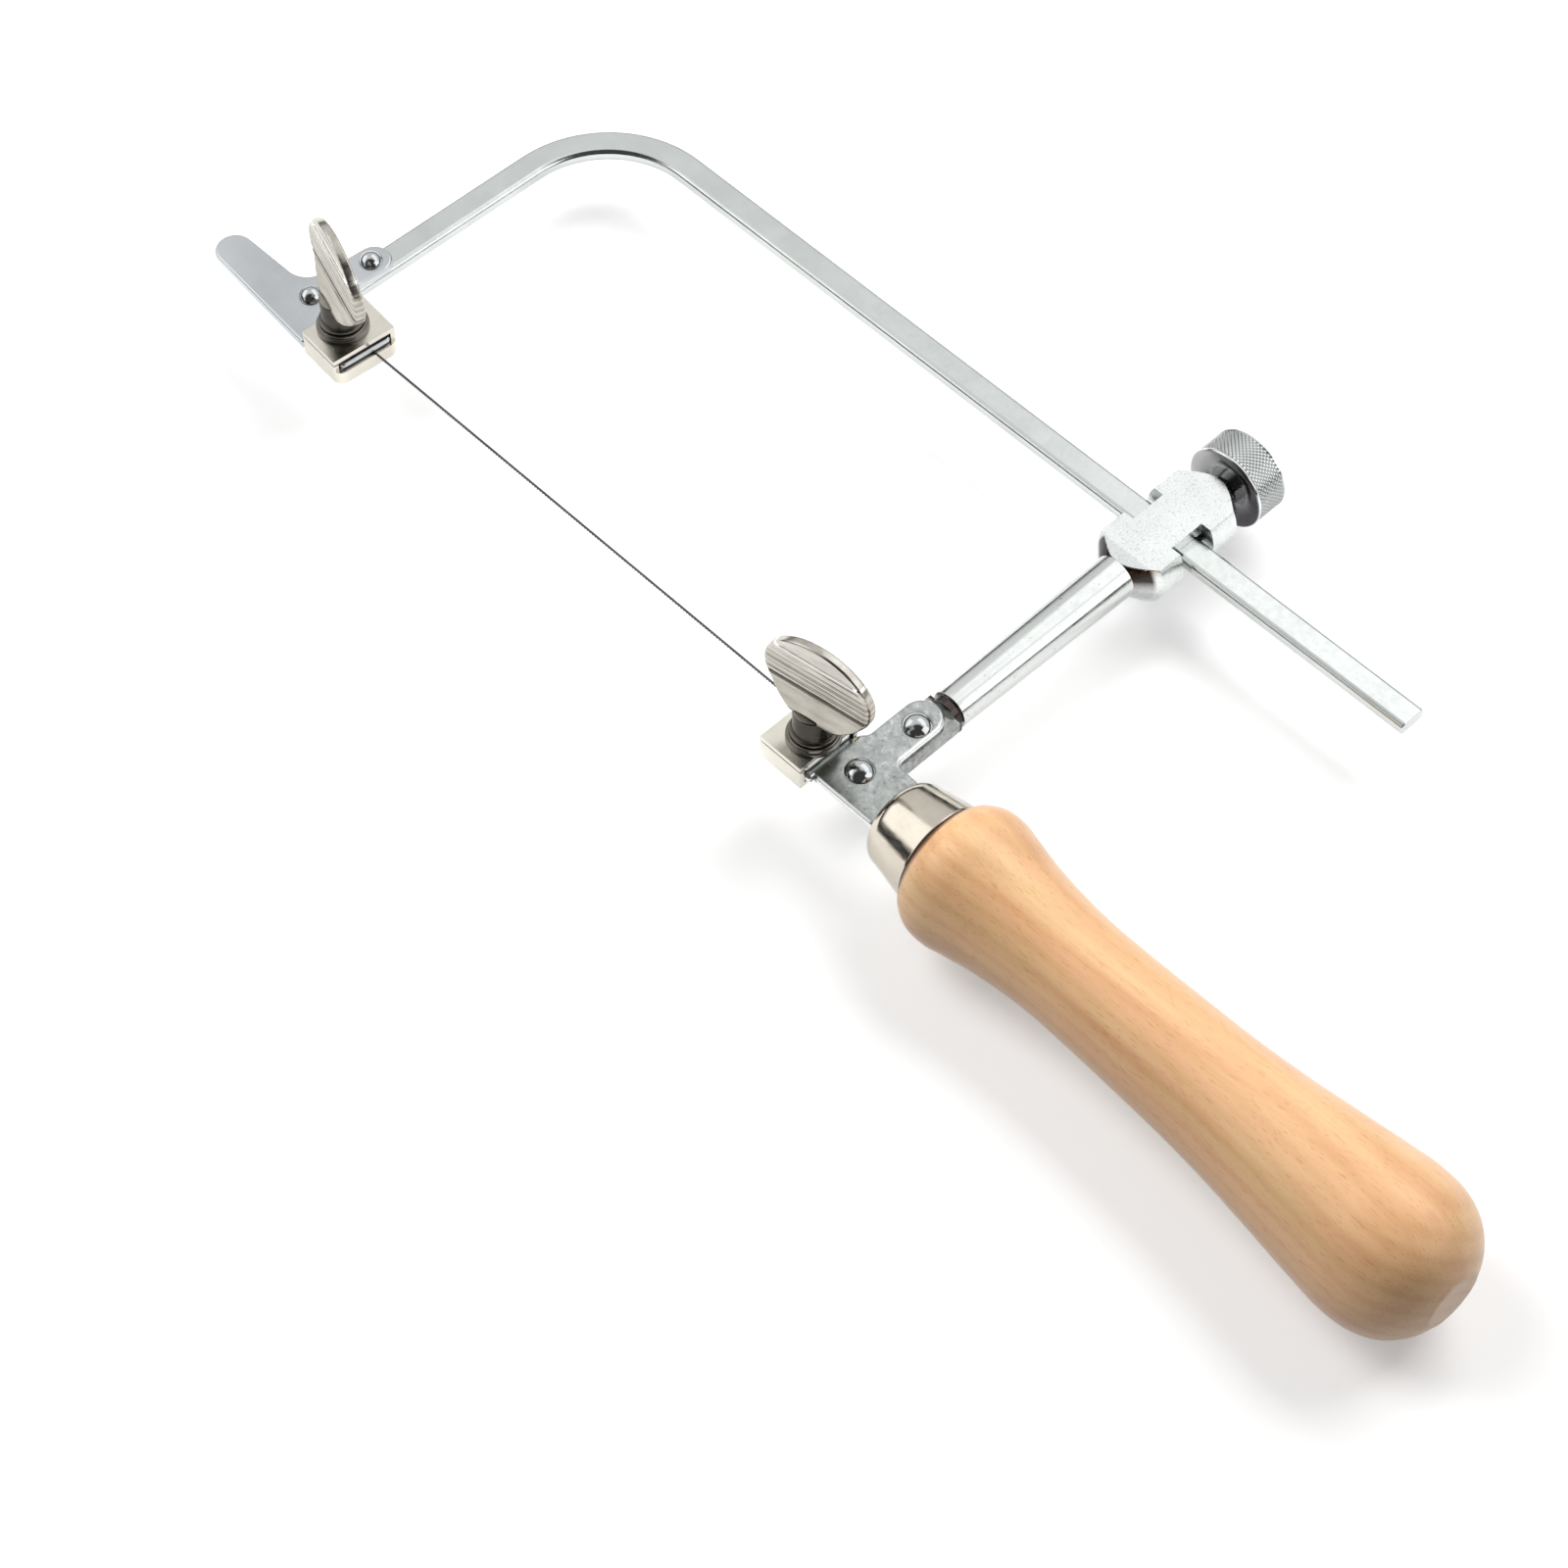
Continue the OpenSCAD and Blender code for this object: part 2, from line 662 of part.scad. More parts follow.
module head_cut(x, y, z, size) {
    placed() translate([rod_x + x, y, bar_z + z]) cube(size);
}

// The head is turned, and a slot through it holds the bar
module slide_head() {
    wide = 2 * head_r + 2 * overrun;
    notch = [head_r, bar_w + notch_lead + slot_gap, wide];
    slot_h = bar_t + 2 * run_fit;
    color("silver") difference() {
        along_y(rod_x, head_y, bar_z) rotate_extrude($fn = round_n) polygon([
            [0, 0], [rod_head_r, 0], [head_r, head_cone_l], [head_r, head_l - head_cone_l],
            [rod_head_r, head_l], [0, head_l]
        ]);
        head_cut(-wide / 2, head_y - overrun, head_flat, [wide, head_l + 2 * overrun, head_r]);
        head_cut(-wide / 2, slot_y, -slot_h / 2, [wide, slot_end - slot_y, slot_h]);
        head_cut(notch_x, throat - notch_lead, -wide / 2, notch);
        head_cut(-notch_x - head_r, throat - notch_lead, -wide / 2, notch);
        along_y(rod_x, head_y - overrun, bar_z)
            cylinder(h = spigot_l + overrun + loose_gap, r = spigot_r + seat_fit, $fn = round_n);
        along_y(rod_x, shoe_y - run_fit, bar_z)
            cylinder(h = shoe_bore_end - shoe_y, r = shoe_r + run_fit, $fn = round_n);
        along_y(rod_x, slot_end - overrun, bar_z)
            cylinder(h = head_end - slot_end + 2 * overrun, r = screw_r + run_fit, $fn = round_n);
    }
}

module pressure_shoe() {
    color("gray") along_y(rod_x, shoe_y, bar_z) cylinder(h = shoe_t, r = shoe_r, $fn = round_n);
}

module clamp_screw() {
    color("silver") along_y(rod_x, screw_y, bar_z)
        cylinder(h = knob_end - dish_d - screw_y, r = screw_r, $fn = round_n);
}

module clamp_knob() {
    bore_r = screw_r + seat_fit;
    color("silver") along_y(rod_x, knob_y, bar_z) rotate_extrude($fn = round_n) polygon([
        [bore_r, 0], [knob_r - knob_edge, 0], [knob_r, knob_edge],
        [knob_r, knob_l - knob_chamfer], [knob_r - knob_chamfer, knob_l], [dish_r, knob_l],
        [dish_r, knob_l - dish_d], [bore_r, knob_l - dish_d]
    ]);
}

// A turned cup: its front face has a slot for the tang
module ferrule() {
    color("wheat") difference() {
        along_handle() rotate_extrude($fn = round_n) difference() {
            union() {
                polygon([
                    [0, 0], [ferrule_r - rim_r, 0], [ferrule_r, rim_r],
                    [ferrule_back_r, ferrule_l], [0, ferrule_l]
                ]);
                translate([ferrule_r - rim_r, rim_r]) circle(r = rim_r, $fn = hull_n);
            }
            polygon([
                [0, ferrule_wall], [ferrule_r - ferrule_wall - rim_r / 2, ferrule_wall],
                [ferrule_back_r - ferrule_wall, ferrule_l], [ferrule_back_r - ferrule_wall,
                ferrule_l + overrun], [0, ferrule_l + overrun]
            ]);
        }
        tang_pocket();
    }
}

module wood_handle() {
    spigot_front = ferrule_wall + seat_fit;
    front_r = ferrule_r - ferrule_wall - rim_r / 2 - seat_fit;
    back_r = ferrule_back_r - ferrule_wall - seat_fit;
    color("burlywood") difference() {
        along_handle() rotate_extrude($fn = round_n) polygon(concat(
            [[0, spigot_front], [front_r, spigot_front], [back_r, ferrule_l]],
            [for (p = wood_line) [p.y, p.x]],
            [[0, ferrule_l + handle_l]]
        ));
        tang_pocket();
    }
}

frame_bar();
front_plate();
front_rivets();
front_clamp_sleeve();
front_screw_bush();
front_jaw();
front_wing_screw();
saw_blade();
lower_plate();
lower_rivets();
lower_clamp_sleeve();
lower_screw_bush();
lower_jaw();
lower_wing_screw();
arm_rod();
slide_head();
pressure_shoe();
clamp_screw();
clamp_knob();
ferrule();
wood_handle();
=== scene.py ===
import math

import bmesh
import bpy
from mathutils import Matrix, Vector


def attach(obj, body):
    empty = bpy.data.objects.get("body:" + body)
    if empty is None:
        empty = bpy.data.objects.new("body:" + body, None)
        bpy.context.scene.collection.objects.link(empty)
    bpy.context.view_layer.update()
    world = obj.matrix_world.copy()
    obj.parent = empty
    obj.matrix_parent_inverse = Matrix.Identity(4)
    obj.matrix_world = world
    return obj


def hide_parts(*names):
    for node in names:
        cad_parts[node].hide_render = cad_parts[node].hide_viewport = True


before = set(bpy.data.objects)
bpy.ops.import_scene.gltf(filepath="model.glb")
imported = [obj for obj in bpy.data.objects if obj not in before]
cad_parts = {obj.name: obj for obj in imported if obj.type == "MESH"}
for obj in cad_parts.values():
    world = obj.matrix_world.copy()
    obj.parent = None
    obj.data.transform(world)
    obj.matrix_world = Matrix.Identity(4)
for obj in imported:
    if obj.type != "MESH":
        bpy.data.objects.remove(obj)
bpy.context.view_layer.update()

MM = 0.001

# Which body each piece of the saw rides, and the material slot it fills
PIECES = {
    "frame_bar": ("frame_side", "bar_steel"),
    "front_plate": ("frame_side", "plate_zinc"),
    "front_rivets": ("frame_side", "rivet_steel"),
    "front_clamp_sleeve": ("frame_side", "clamp_nickel"),
    "front_screw_bush": ("frame_side", "bush_steel"),
    "front_jaw": ("front_jaw_unit", "plate_zinc"),
    "front_wing_screw": ("front_wing_unit", "clamp_nickel"),
    "saw_blade": ("handle_side", "blade_steel"),
    "lower_plate": ("handle_side", "plate_zinc"),
    "lower_rivets": ("handle_side", "rivet_steel"),
    "lower_clamp_sleeve": ("handle_side", "clamp_nickel"),
    "lower_screw_bush": ("handle_side", "bush_steel"),
    "lower_jaw": ("lower_jaw_unit", "plate_zinc"),
    "lower_wing_screw": ("lower_wing_unit", "clamp_nickel"),
    "arm_rod": ("handle_side", "bar_steel"),
    "slide_head": ("handle_side", "head_steel"),
    "pressure_shoe": ("shoe_unit", "bush_steel"),
    "clamp_screw": ("knob_unit", "head_steel"),
    "clamp_knob": ("knob_unit", "knob_steel"),
    "ferrule": ("handle_side", "ferrule_nickel"),
    "wood_handle": ("handle_side", "beech"),
}

# Materials of the pieces that have one of their own within their slot
LOOKS = {
    "arm_rod": "rod_steel",
    "front_wing_screw": "wing_nickel",
    "lower_wing_screw": "wing_nickel",
}

# Pieces that keep the outline of their solid: radius of their edges, and steps in it
EDGED = {
    "front_plate": (0.6, 4),
    "front_clamp_sleeve": (0.48, 4),
    "front_screw_bush": (0.3, 3),
    "front_jaw": (0.45, 3),
    "lower_plate": (0.9, 5),
    "lower_clamp_sleeve": (0.48, 4),
    "lower_screw_bush": (0.3, 3),
    "lower_jaw": (0.45, 3),
    "arm_rod": (0.25, 2),
    "slide_head": (0.25, 2),
    "pressure_shoe": (0.2, 2),
    "clamp_screw": (0.35, 3),
}

# Flat plates, whose edges keep their full round beside short edges
OPEN_EDGED = ("front_plate", "lower_plate")

# Levels above the floor, and thickness of the plates and of the bar
PLATE_TOP = 17.0
PLATE_T = 2.0
BAR_T = 3.0
BAR_Z = 13.5

# Spine bar: its section, the middle of its bend, and its two ends
BAR_W, BAR_ROUND = 6.4, 1.2
BEND_AT, BEND_R = (-115.311, 15.802), 23.1
BAR_END = 81.089
ARM_SPLAY, ARM_L = 1.2, 62.798
CORNER_STEPS, TAIL_STEPS, BEND_STEPS, ARM_STEPS = 8, 12, 40, 6

# Places of the clamps, and the turn of each clamp and of its wing in degrees
FRONT_SCREW = (-127.711, -43.098)
FRONT_TURN = -4.8
FRONT_WING_TURN = -18.0
LOWER_SCREW = (8.989, -46.098)
LOWER_WING_TURN = 9.0

# Rivets, as places from the front screw and on the floor plan
FRONT_RIVETS = ((-13.0, 1.0), (-13.0, 15.8))
LOWER_RIVETS = ((19.089, -44.098), (19.089, -29.298))
FRONT_RIVET_R, LOWER_RIVET_R, RIVET_H = 2.5, 3.0, 1.75
RIVET_SHANK_R = 1.3
RIVET_TAIL_R, RIVET_TAIL_H = 2.2, 0.7

# Wing screws, measured from the top of the plates
SHANK_R, SHANK_FROM = 2.5, 1.6
COLLAR_R, COLLAR_Z, COLLAR_H = 4.6, 5.0, 0.9
NECK_R, NECK_TOP, WING_FOOT = 4.0, 11.6, 4.5
WING_W, WING_H, WING_T = 23.8, 19.6, 2.6
WING_Z, WING_SHIFT = 20.2, 1.3
WING_RIM_T = 2.4
WING_ROUND = 0.75
WEDGE_TOP, WEDGE_HALF = 15.6, 2.9
GROOVES = (17.26, 18.9, 20.3, 21.7, 23.1, 24.5)
GROOVE_D = (0.5, 0.22, 0.16, 0.2, 0.13, 0.16)
GROOVE_W = (1.2, 0.8, 0.6, 0.7, 0.6, 0.7)
STEP_Z, STEP_W, STEP_D = 25.9, 0.34, 0.32
WING_STEPS, WING_COLUMNS = 240, 44

# Blade
BLADE_X = (-124.361, 5.639)
TEETH_X = (-119.4, 0.7)
BLADE_BACK_Y, BLADE_TIP_Y = -41.58, -42.1
BLADE_Z, BLADE_T = 17.05, 0.3
TOOTH_H, TOOTH_PITCH, TOOTH_LEAN = 0.2, 0.75, 0.85

# Knob, along Y
KNOB_AT = (19.089, 55.202, BAR_Z)
KNOB_R, KNOB_L = 9.0, 9.3
KNOB_EDGE, KNOB_CHAMFER = 0.5, 1.7
DISH_R, DISH_D = 5.6, 0.5
KNOB_BORE_R = 3.03
KNURL_COUNT, KNURL_STEPS = 58, 4
KNURL_DEPTH = 0.36

# Handle, from the middle of the ferrule's front, leaning a little in plan
HANDLE_AT = (29.989, -45.998, 16.0)
HANDLE_LEAN = 1.2
FERRULE_L, FERRULE_R, FERRULE_BACK_R = 12.1, 9.2, 10.8
FERRULE_RIM_R, FERRULE_WALL = 3.6, 1.0
HANDLE_L, HANDLE_R = 122.99, 15.985
HANDLE_SHARES = (
    (0.0, 0.7), (0.012, 0.8), (0.036, 0.885), (0.066, 0.895), (0.102, 0.84), (0.16, 0.755),
    (0.254, 0.686), (0.348, 0.688), (0.442, 0.71), (0.536, 0.738), (0.63, 0.793), (0.724, 0.876),
    (0.818, 0.964), (0.868, 1.0), (0.915, 0.97), (0.955, 0.84), (0.984, 0.62), (1.0, 0.38),
)
TANG_W, TANG_END_W, TANG_L = 8.6, 5.0, 44.0
SEAT_FIT, WOOD_SEAM = 0.03, 0.4
HANDLE_COUNT = 128

# The camera as fitted to the photograph, in the saw's frame
CAMERA_AT = Vector((309.02, -339.51, 604.71)) * MM
CAMERA_AZIMUTH = math.radians(46.40)
CAMERA_ELEVATION = math.radians(55.04)
CAMERA_ROLL = math.radians(-0.55)
CAMERA_LENS = 90.06
SENSOR = 36.0

# Light of the sky, and of the tent that metal mirrors, which is dark about one direction.
# The three lists give the level by height, and by nearness to that direction, each in 0..1
SKY_LEVEL = 0.15
SKY_BY_HEIGHT = ((0.45, 0.4), (0.75, 1.0))
TENT_LEVEL = 1.6
TENT_BY_HEIGHT = (
    (0.0, 0.5), (0.5, 0.5), (0.505, 0.012), (0.585, 0.012), (0.64, 0.5), (1.0, 0.56),
)
DARK_SIDE = (0.52, -0.5, 0.69)
TENT_BY_SIDE = ((0.79, 1.0), (0.86, 0.07))

# Windows of light, and one of shade, in the tent:
# direction, direction of the width, half width, half height and level
WINDOWS = (
    ((-0.72, -0.38, 0.6), (0.0, 1.0, 0.0), 0.45, 0.25, 1.0),
    ((0.02, 0.62, 0.785), (1.0, 0.0, 0.0), 0.41, 0.24, 1.0),
    ((0.75, 0.4, 0.5), (-0.45, 0.85, 0.0), 0.34, 0.32, 1.0),
    ((-0.6, -0.76, 0.2), (0.78, -0.62, 0.0), 0.26, 0.17, 0.03),
)
WINDOW_BLUR = 0.03

# Softboxes: direction from the saw, then distance, width and height in metres, and power
SOFTBOXES = (
    ((-0.6, -0.3, 0.74), 1.3, 0.62, 1.0, 10.8),
    ((0.02, 0.62, 0.785), 1.3, 1.05, 0.6, 12.8),
)

# Floor: half its size in metres, its drop below the saw, its greys to the light and to the
# eye, its glow near the saw, and the distances between which the glow rises to white
FLOOR_HALF = 6.0
FLOOR_DROP = 0.2
FLOOR_LIT, FLOOR_SEEN = 0.34, 0.85
FLOOR_GLOW = 0.35
GLOW_FROM, GLOW_TO = 350.0, 900.0


def tone(red, green, blue):
    """Linear colour of a shade given in 0..255 as it looks on a screen."""
    def linear(v):
        v = v / 255.0
        return v / 12.92 if v <= 0.04045 else ((v + 0.055) / 1.055) ** 2.4
    return (linear(red), linear(green), linear(blue), 1.0)


def grey(level):
    return (level, level, level, 1.0)


# Multiplied with a colour, this leaves it as it is
PLAIN = tone(255, 255, 255)


# Shader building blocks

def start_material(name, metallic, roughness):
    material = bpy.data.materials.new(name)
    material.use_nodes = True
    shader = material.node_tree.nodes["Principled BSDF"]
    shader.inputs["Metallic"].default_value = metallic
    shader.inputs["Roughness"].default_value = roughness
    return material, material.node_tree, shader


def coordinates(tree, stretch=1.0, shift=(0.0, 0.0, 0.0)):
    """Object coordinates in metres, multiplied by stretch, one number or one for each axis."""
    source = tree.nodes.new("ShaderNodeTexCoord")
    mapping = tree.nodes.new("ShaderNodeMapping")
    mapping.inputs["Scale"].default_value = (stretch,) * 3 if isinstance(stretch, float) else stretch
    mapping.inputs["Location"].default_value = shift
    tree.links.new(source.outputs["Object"], mapping.inputs["Vector"])
    return mapping.outputs["Vector"]


def noise(tree, stretch, detail, roughness, distortion=0.0):
    """Noise with about as many swings to the metre as stretch says."""
    node = tree.nodes.new("ShaderNodeTexNoise")
    node.inputs["Scale"].default_value = 1.0
    node.inputs["Detail"].default_value = detail
    node.inputs["Roughness"].default_value = roughness
    node.inputs["Distortion"].default_value = distortion
    tree.links.new(coordinates(tree, stretch), node.inputs["Vector"])
    return node.outputs["Fac"]


def ramp(tree, factor, stops):
    node = tree.nodes.new("ShaderNodeValToRGB")
    elements = node.color_ramp.elements
    elements[0].position, elements[0].color = stops[0]
    elements[1].position, elements[1].color = stops[-1]
    for position, colour in stops[1:-1]:
        elements.new(position).color = colour
    tree.links.new(factor, node.inputs["Fac"])
    return node.outputs["Color"]


def mapped(tree, value, low, high, to_low, to_high):
    node = tree.nodes.new("ShaderNodeMapRange")
    node.inputs["From Min"].default_value = low
    node.inputs["From Max"].default_value = high
    node.inputs["To Min"].default_value = to_low
    node.inputs["To Max"].default_value = to_high
    tree.links.new(value, node.inputs["Value"])
    return node.outputs["Result"]


def calculated(tree, operation, first, second=None):
    """One step of arithmetic on one or two numbers."""
    node = tree.nodes.new("ShaderNodeMath")
    node.operation = operation
    tree.links.new(first, node.inputs[0])
    if second is not None:
        tree.links.new(second, node.inputs[1])
    return node.outputs["Value"]


def dot(tree, vector, direction):
    """How far a vector reaches along a fixed direction."""
    node = tree.nodes.new("ShaderNodeVectorMath")
    node.operation = "DOT_PRODUCT"
    node.inputs[1].default_value = direction
    tree.links.new(vector, node.inputs[0])
    return node.outputs["Value"]


def length(tree, vector):
    node = tree.nodes.new("ShaderNodeVectorMath")
    node.operation = "LENGTH"
    tree.links.new(vector, node.inputs[0])
    return node.outputs["Value"]


def component(tree, vector, axis):
    node = tree.nodes.new("ShaderNodeSeparateXYZ")
    tree.links.new(vector, node.inputs["Vector"])
    return node.outputs[axis]


def colour_mix(tree, mode, first, second):
    node = tree.nodes.new("ShaderNodeMix")
    node.data_type = "RGBA"
    node.blend_type = mode
    tree.links.new(first, node.inputs["A"])
    tree.links.new(second, node.inputs["B"])
    return node


def mixed(tree, factor, first, second):
    """First where the factor is 0, second where it is 1."""
    node = colour_mix(tree, "MIX", first, second)
    tree.links.new(factor, node.inputs["Factor"])
    return node.outputs["Result"]


def multiplied(tree, first, second, amount=1.0):
    node = colour_mix(tree, "MULTIPLY", first, second)
    node.inputs["Factor"].default_value = amount
    return node.outputs["Result"]


def specked(tree, body, stretch, low, high, dark, amount):
    """Body with small dark specks, which fade out as the noise goes from low to high."""
    speck = noise(tree, stretch, 2.0, 0.5)
    return multiplied(tree, body, ramp(tree, speck, [(low, dark), (high, PLAIN)]), amount)


def level_ramp(tree, axis, low, high, stops):
    """Colour by place along one axis of the saw, from low to high in mm."""
    share = mapped(tree, component(tree, coordinates(tree), axis), low * MM, high * MM, 0.0, 1.0)
    return ramp(tree, share, [((place - low) / (high - low), colour) for place, colour in stops])


def flatness(tree):
    """1 on level faces, 0 on upright ones and on most of the round between them."""
    geometry = tree.nodes.new("ShaderNodeNewGeometry")
    upward = calculated(tree, "ABSOLUTE", component(tree, geometry.outputs["Normal"], "Z"))
    return mapped(tree, upward, 0.9, 0.98, 0.0, 1.0)


def set_roughness(tree, shader, factor, low, high):
    """Roughness from low to high as a noise goes through its usual range."""
    tree.links.new(mapped(tree, factor, 0.3, 0.7, low, high), shader.inputs["Roughness"])


def bumped(tree, shader, height, distance):
    node = tree.nodes.new("ShaderNodeBump")
    node.inputs["Strength"].default_value = 1.0
    node.inputs["Distance"].default_value = distance * MM
    tree.links.new(height, node.inputs["Height"])
    tree.links.new(node.outputs["Normal"], shader.inputs["Normal"])


# Materials

def metal(name, shades, roughness, grain=900.0, swing=0.06, bump=0.01):
    """Metal with a cloudy tone between two shades and a finer grain in its gloss."""
    material, tree, shader = start_material(name, 1.0, roughness)
    first, second = shades
    cloud = noise(tree, 110.0, 4.0, 0.6)
    colour = ramp(tree, cloud, [(0.3, tone(*first)), (0.7, tone(*second))])
    tree.links.new(colour, shader.inputs["Base Color"])
    fine = noise(tree, grain, 3.0, 0.6)
    set_roughness(tree, shader, fine, roughness - swing, roughness + swing)
    bumped(tree, shader, fine, bump)
    return material


def plate_zinc():
    """Galvanised sheet: pale in front, blotched and specked at the handle, with a painted highlight on
    its rounded edges there.
    """
    material, tree, shader = start_material("plate_zinc", 1.0, 0.3)
    blotch = noise(tree, 420.0, 4.0, 0.7, 0.8)
    cloud = noise(tree, 90.0, 3.0, 0.5)
    pale = ramp(tree, cloud, [(0.3, tone(196, 200, 203)), (0.7, tone(212, 215, 218))])
    dull = ramp(tree, blotch, [
        (0.3, tone(148, 151, 150)), (0.46, tone(172, 176, 174)), (0.58, tone(188, 192, 190)),
        (0.7, tone(216, 219, 217)),
    ])
    dull = specked(tree, dull, 1300.0, 0.28, 0.38, tone(120, 120, 122), 0.45)
    # Painted highlight: rounded edges paler than the flat faces, standing in for the light they mirror
    edge = ramp(tree, cloud, [(0.3, tone(232, 235, 234)), (0.7, tone(246, 248, 247))])
    dull = mixed(tree, flatness(tree), edge, dull)
    place = level_ramp(tree, "X", -110.0, -10.0, [(-100.0, grey(0.0)), (-20.0, grey(1.0))])
    tree.links.new(mixed(tree, place, pale, dull), shader.inputs["Base Color"])
    set_roughness(tree, shader, cloud, 0.24, 0.34)
    bumped(tree, shader, blotch, 0.006)
    return material


def rod_steel():
    """Bright rod with a dark groove at its foot and a dull tongue under the plate."""
    material, tree, shader = start_material("rod_steel", 1.0, 0.2)
    cloud = noise(tree, (110.0, 20.0, 110.0), 4.0, 0.6)
    bright = ramp(tree, cloud, [(0.3, tone(210, 213, 211)), (0.7, tone(224, 227, 225))])
    fine = noise(tree, 600.0, 4.0, 0.7)
    # Darker, mottled grey over the tongue under the plate
    tongue_grey = ramp(tree, fine, [(0.3, tone(112, 113, 112)), (0.7, tone(188, 190, 188))])
    groove = level_ramp(tree, "Y", -24.0, -18.0, [
        (-22.35, tone(128, 128, 128)), (-22.25, tone(92, 80, 80)), (-20.75, tone(92, 80, 80)),
        (-20.65, PLAIN),
    ])
    past_tongue = level_ramp(tree, "Y", -24.0, -18.0, [(-22.3, grey(0.0)), (-22.2, grey(1.0))])
    body = mixed(tree, past_tongue, tongue_grey, multiplied(tree, bright, groove))
    body = specked(tree, body, 1500.0, 0.25, 0.32, tone(110, 110, 112), 0.7)
    tree.links.new(body, shader.inputs["Base Color"])
    set_roughness(tree, shader, fine, 0.14, 0.26)
    return material


def head_steel():
    """Ground white steel with a fine stipple, and painted shade and a painted dark reflection on the
    cone under the flat at the rod's end.
    """
    material, tree, shader = start_material("head_steel", 1.0, 0.22)
    cloud = noise(tree, 160.0, 4.0, 0.6)
    steel = ramp(tree, cloud, [(0.3, tone(222, 226, 225)), (0.7, tone(233, 236, 235))])
    rod_end = level_ramp(tree, "Y", 20.0, 30.0, [(27.2, grey(1.0)), (27.8, grey(0.0))])
    # Painted shade and reflection: dark on the cone just under the flat, light grey lower down
    shade = level_ramp(tree, "Z", 10.0, 20.0, [
        (13.0, tone(206, 208, 208)), (14.6, tone(150, 148, 147)), (15.6, tone(66, 62, 60)),
        (17.85, tone(66, 62, 60)), (17.95, tone(212, 215, 214)),
    ])
    steel = mixed(tree, rod_end, steel, shade)
    stipple = noise(tree, 1900.0, 3.0, 0.7)
    dots = ramp(tree, stipple, [(0.36, tone(192, 195, 194)), (0.46, PLAIN)])
    tree.links.new(multiplied(tree, steel, dots, 0.5), shader.inputs["Base Color"])
    set_roughness(tree, shader, stipple, 0.16, 0.3)
    bumped(tree, shader, stipple, 0.02)
    return material


def knob_steel():
    """Steel with painted shade in the hollows of the knurl, and a painted dark reflection on the face
    towards the head.
    """
    material, tree, shader = start_material("knob_steel", 1.0, 0.2)
    cloud = noise(tree, 130.0, 4.0, 0.6)
    steel = ramp(tree, cloud, [(0.3, tone(218, 221, 220)), (0.7, tone(234, 237, 236))])
    axis = (-KNOB_AT[0] * MM, 0.0, -KNOB_AT[2] * MM)
    reach = length(tree, coordinates(tree, (1.0, 0.0, 1.0), axis))
    rise = mapped(tree, reach, (KNOB_R - KNURL_DEPTH) * MM, KNOB_R * MM, 0.0, 1.0)
    # Painted shade in the hollows of the knurl, darker the deeper they go
    knurl_shade = ramp(tree, rise, [
        (0.0, tone(140, 140, 139)), (0.45, tone(218, 220, 219)), (0.85, PLAIN),
    ])
    band = level_ramp(tree, "Y", 55.0, 65.0, [
        (55.9, grey(0.0)), (56.0, grey(1.0)), (62.6, grey(1.0)), (62.7, grey(0.0)),
    ])
    steel = mixed(tree, band, steel, multiplied(tree, steel, knurl_shade))
    # Painted reflection: the face towards the head is dark, and darker towards +X
    back = level_ramp(tree, "Y", 55.0, 56.0, [(55.3, grey(1.0)), (55.5, grey(0.0))])
    across = level_ramp(tree, "X", 8.0, 30.0, [
        (12.0, tone(168, 168, 168)), (18.0, tone(118, 117, 118)), (24.0, tone(84, 82, 86)),
    ])
    tree.links.new(mixed(tree, back, steel, across), shader.inputs["Base Color"])
    set_roughness(tree, shader, noise(tree, 900.0, 3.0, 0.6), 0.14, 0.26)
    return material


def wing_nickel():
    """Warm nickel of the wing screws: painted shade on the collar and the neck under the wing, painted
    shade and highlights at the grooves, and one painted highlight line above them.
    """
    material, tree, shader = start_material("wing_nickel", 1.0, 0.22)
    cloud = noise(tree, (150.0, 150.0, 700.0), 4.0, 0.65)
    nickel = ramp(tree, cloud, [
        (0.3, tone(182, 177, 168)), (0.5, tone(199, 195, 186)), (0.7, tone(211, 207, 199)),
    ])
    # Painted shade: the collar and, darker still, the neck under the wing
    neck = level_ramp(tree, "Z", 20.0, 30.0, [
        (21.9, tone(150, 148, 145)), (22.85, tone(150, 148, 145)), (23.0, tone(104, 103, 101)),
        (28.5, tone(104, 103, 101)), (28.65, PLAIN),
    ])
    # Painted shade in the grooves of the wing, with painted highlights at some of their edges
    groove_shade_and_highlights = level_ramp(tree, "Z", 33.0, 43.0, [
        (33.7, tone(226, 225, 222)), (33.95, tone(128, 124, 118)), (34.5, tone(128, 124, 118)),
        (34.75, PLAIN), (36.1, tone(206, 204, 200)), (37.0, PLAIN),
        (37.5, tone(190, 188, 184)), (38.3, tone(250, 250, 250)), (38.9, tone(196, 194, 190)),
        (39.7, PLAIN), (40.2, tone(204, 202, 198)), (41.0, PLAIN),
    ])
    # Painted highlight: one white line along the step near the top of the wing
    step_highlight = level_ramp(tree, "Z", 42.0, 44.0, [
        (42.68, grey(0.0)), (42.8, grey(1.0)), (43.2, grey(1.0)), (43.32, grey(0.0)),
    ])
    white = ramp(tree, cloud, [(0.0, tone(252, 249, 243)), (1.0, tone(252, 249, 243))])
    nickel = mixed(tree, step_highlight, multiplied(tree, nickel, groove_shade_and_highlights, 0.9), white)
    tree.links.new(multiplied(tree, nickel, neck), shader.inputs["Base Color"])
    streak = noise(tree, (90.0, 90.0, 2400.0), 3.0, 0.6)
    set_roughness(tree, shader, streak, 0.16, 0.3)
    bumped(tree, shader, streak, 0.03)
    return material


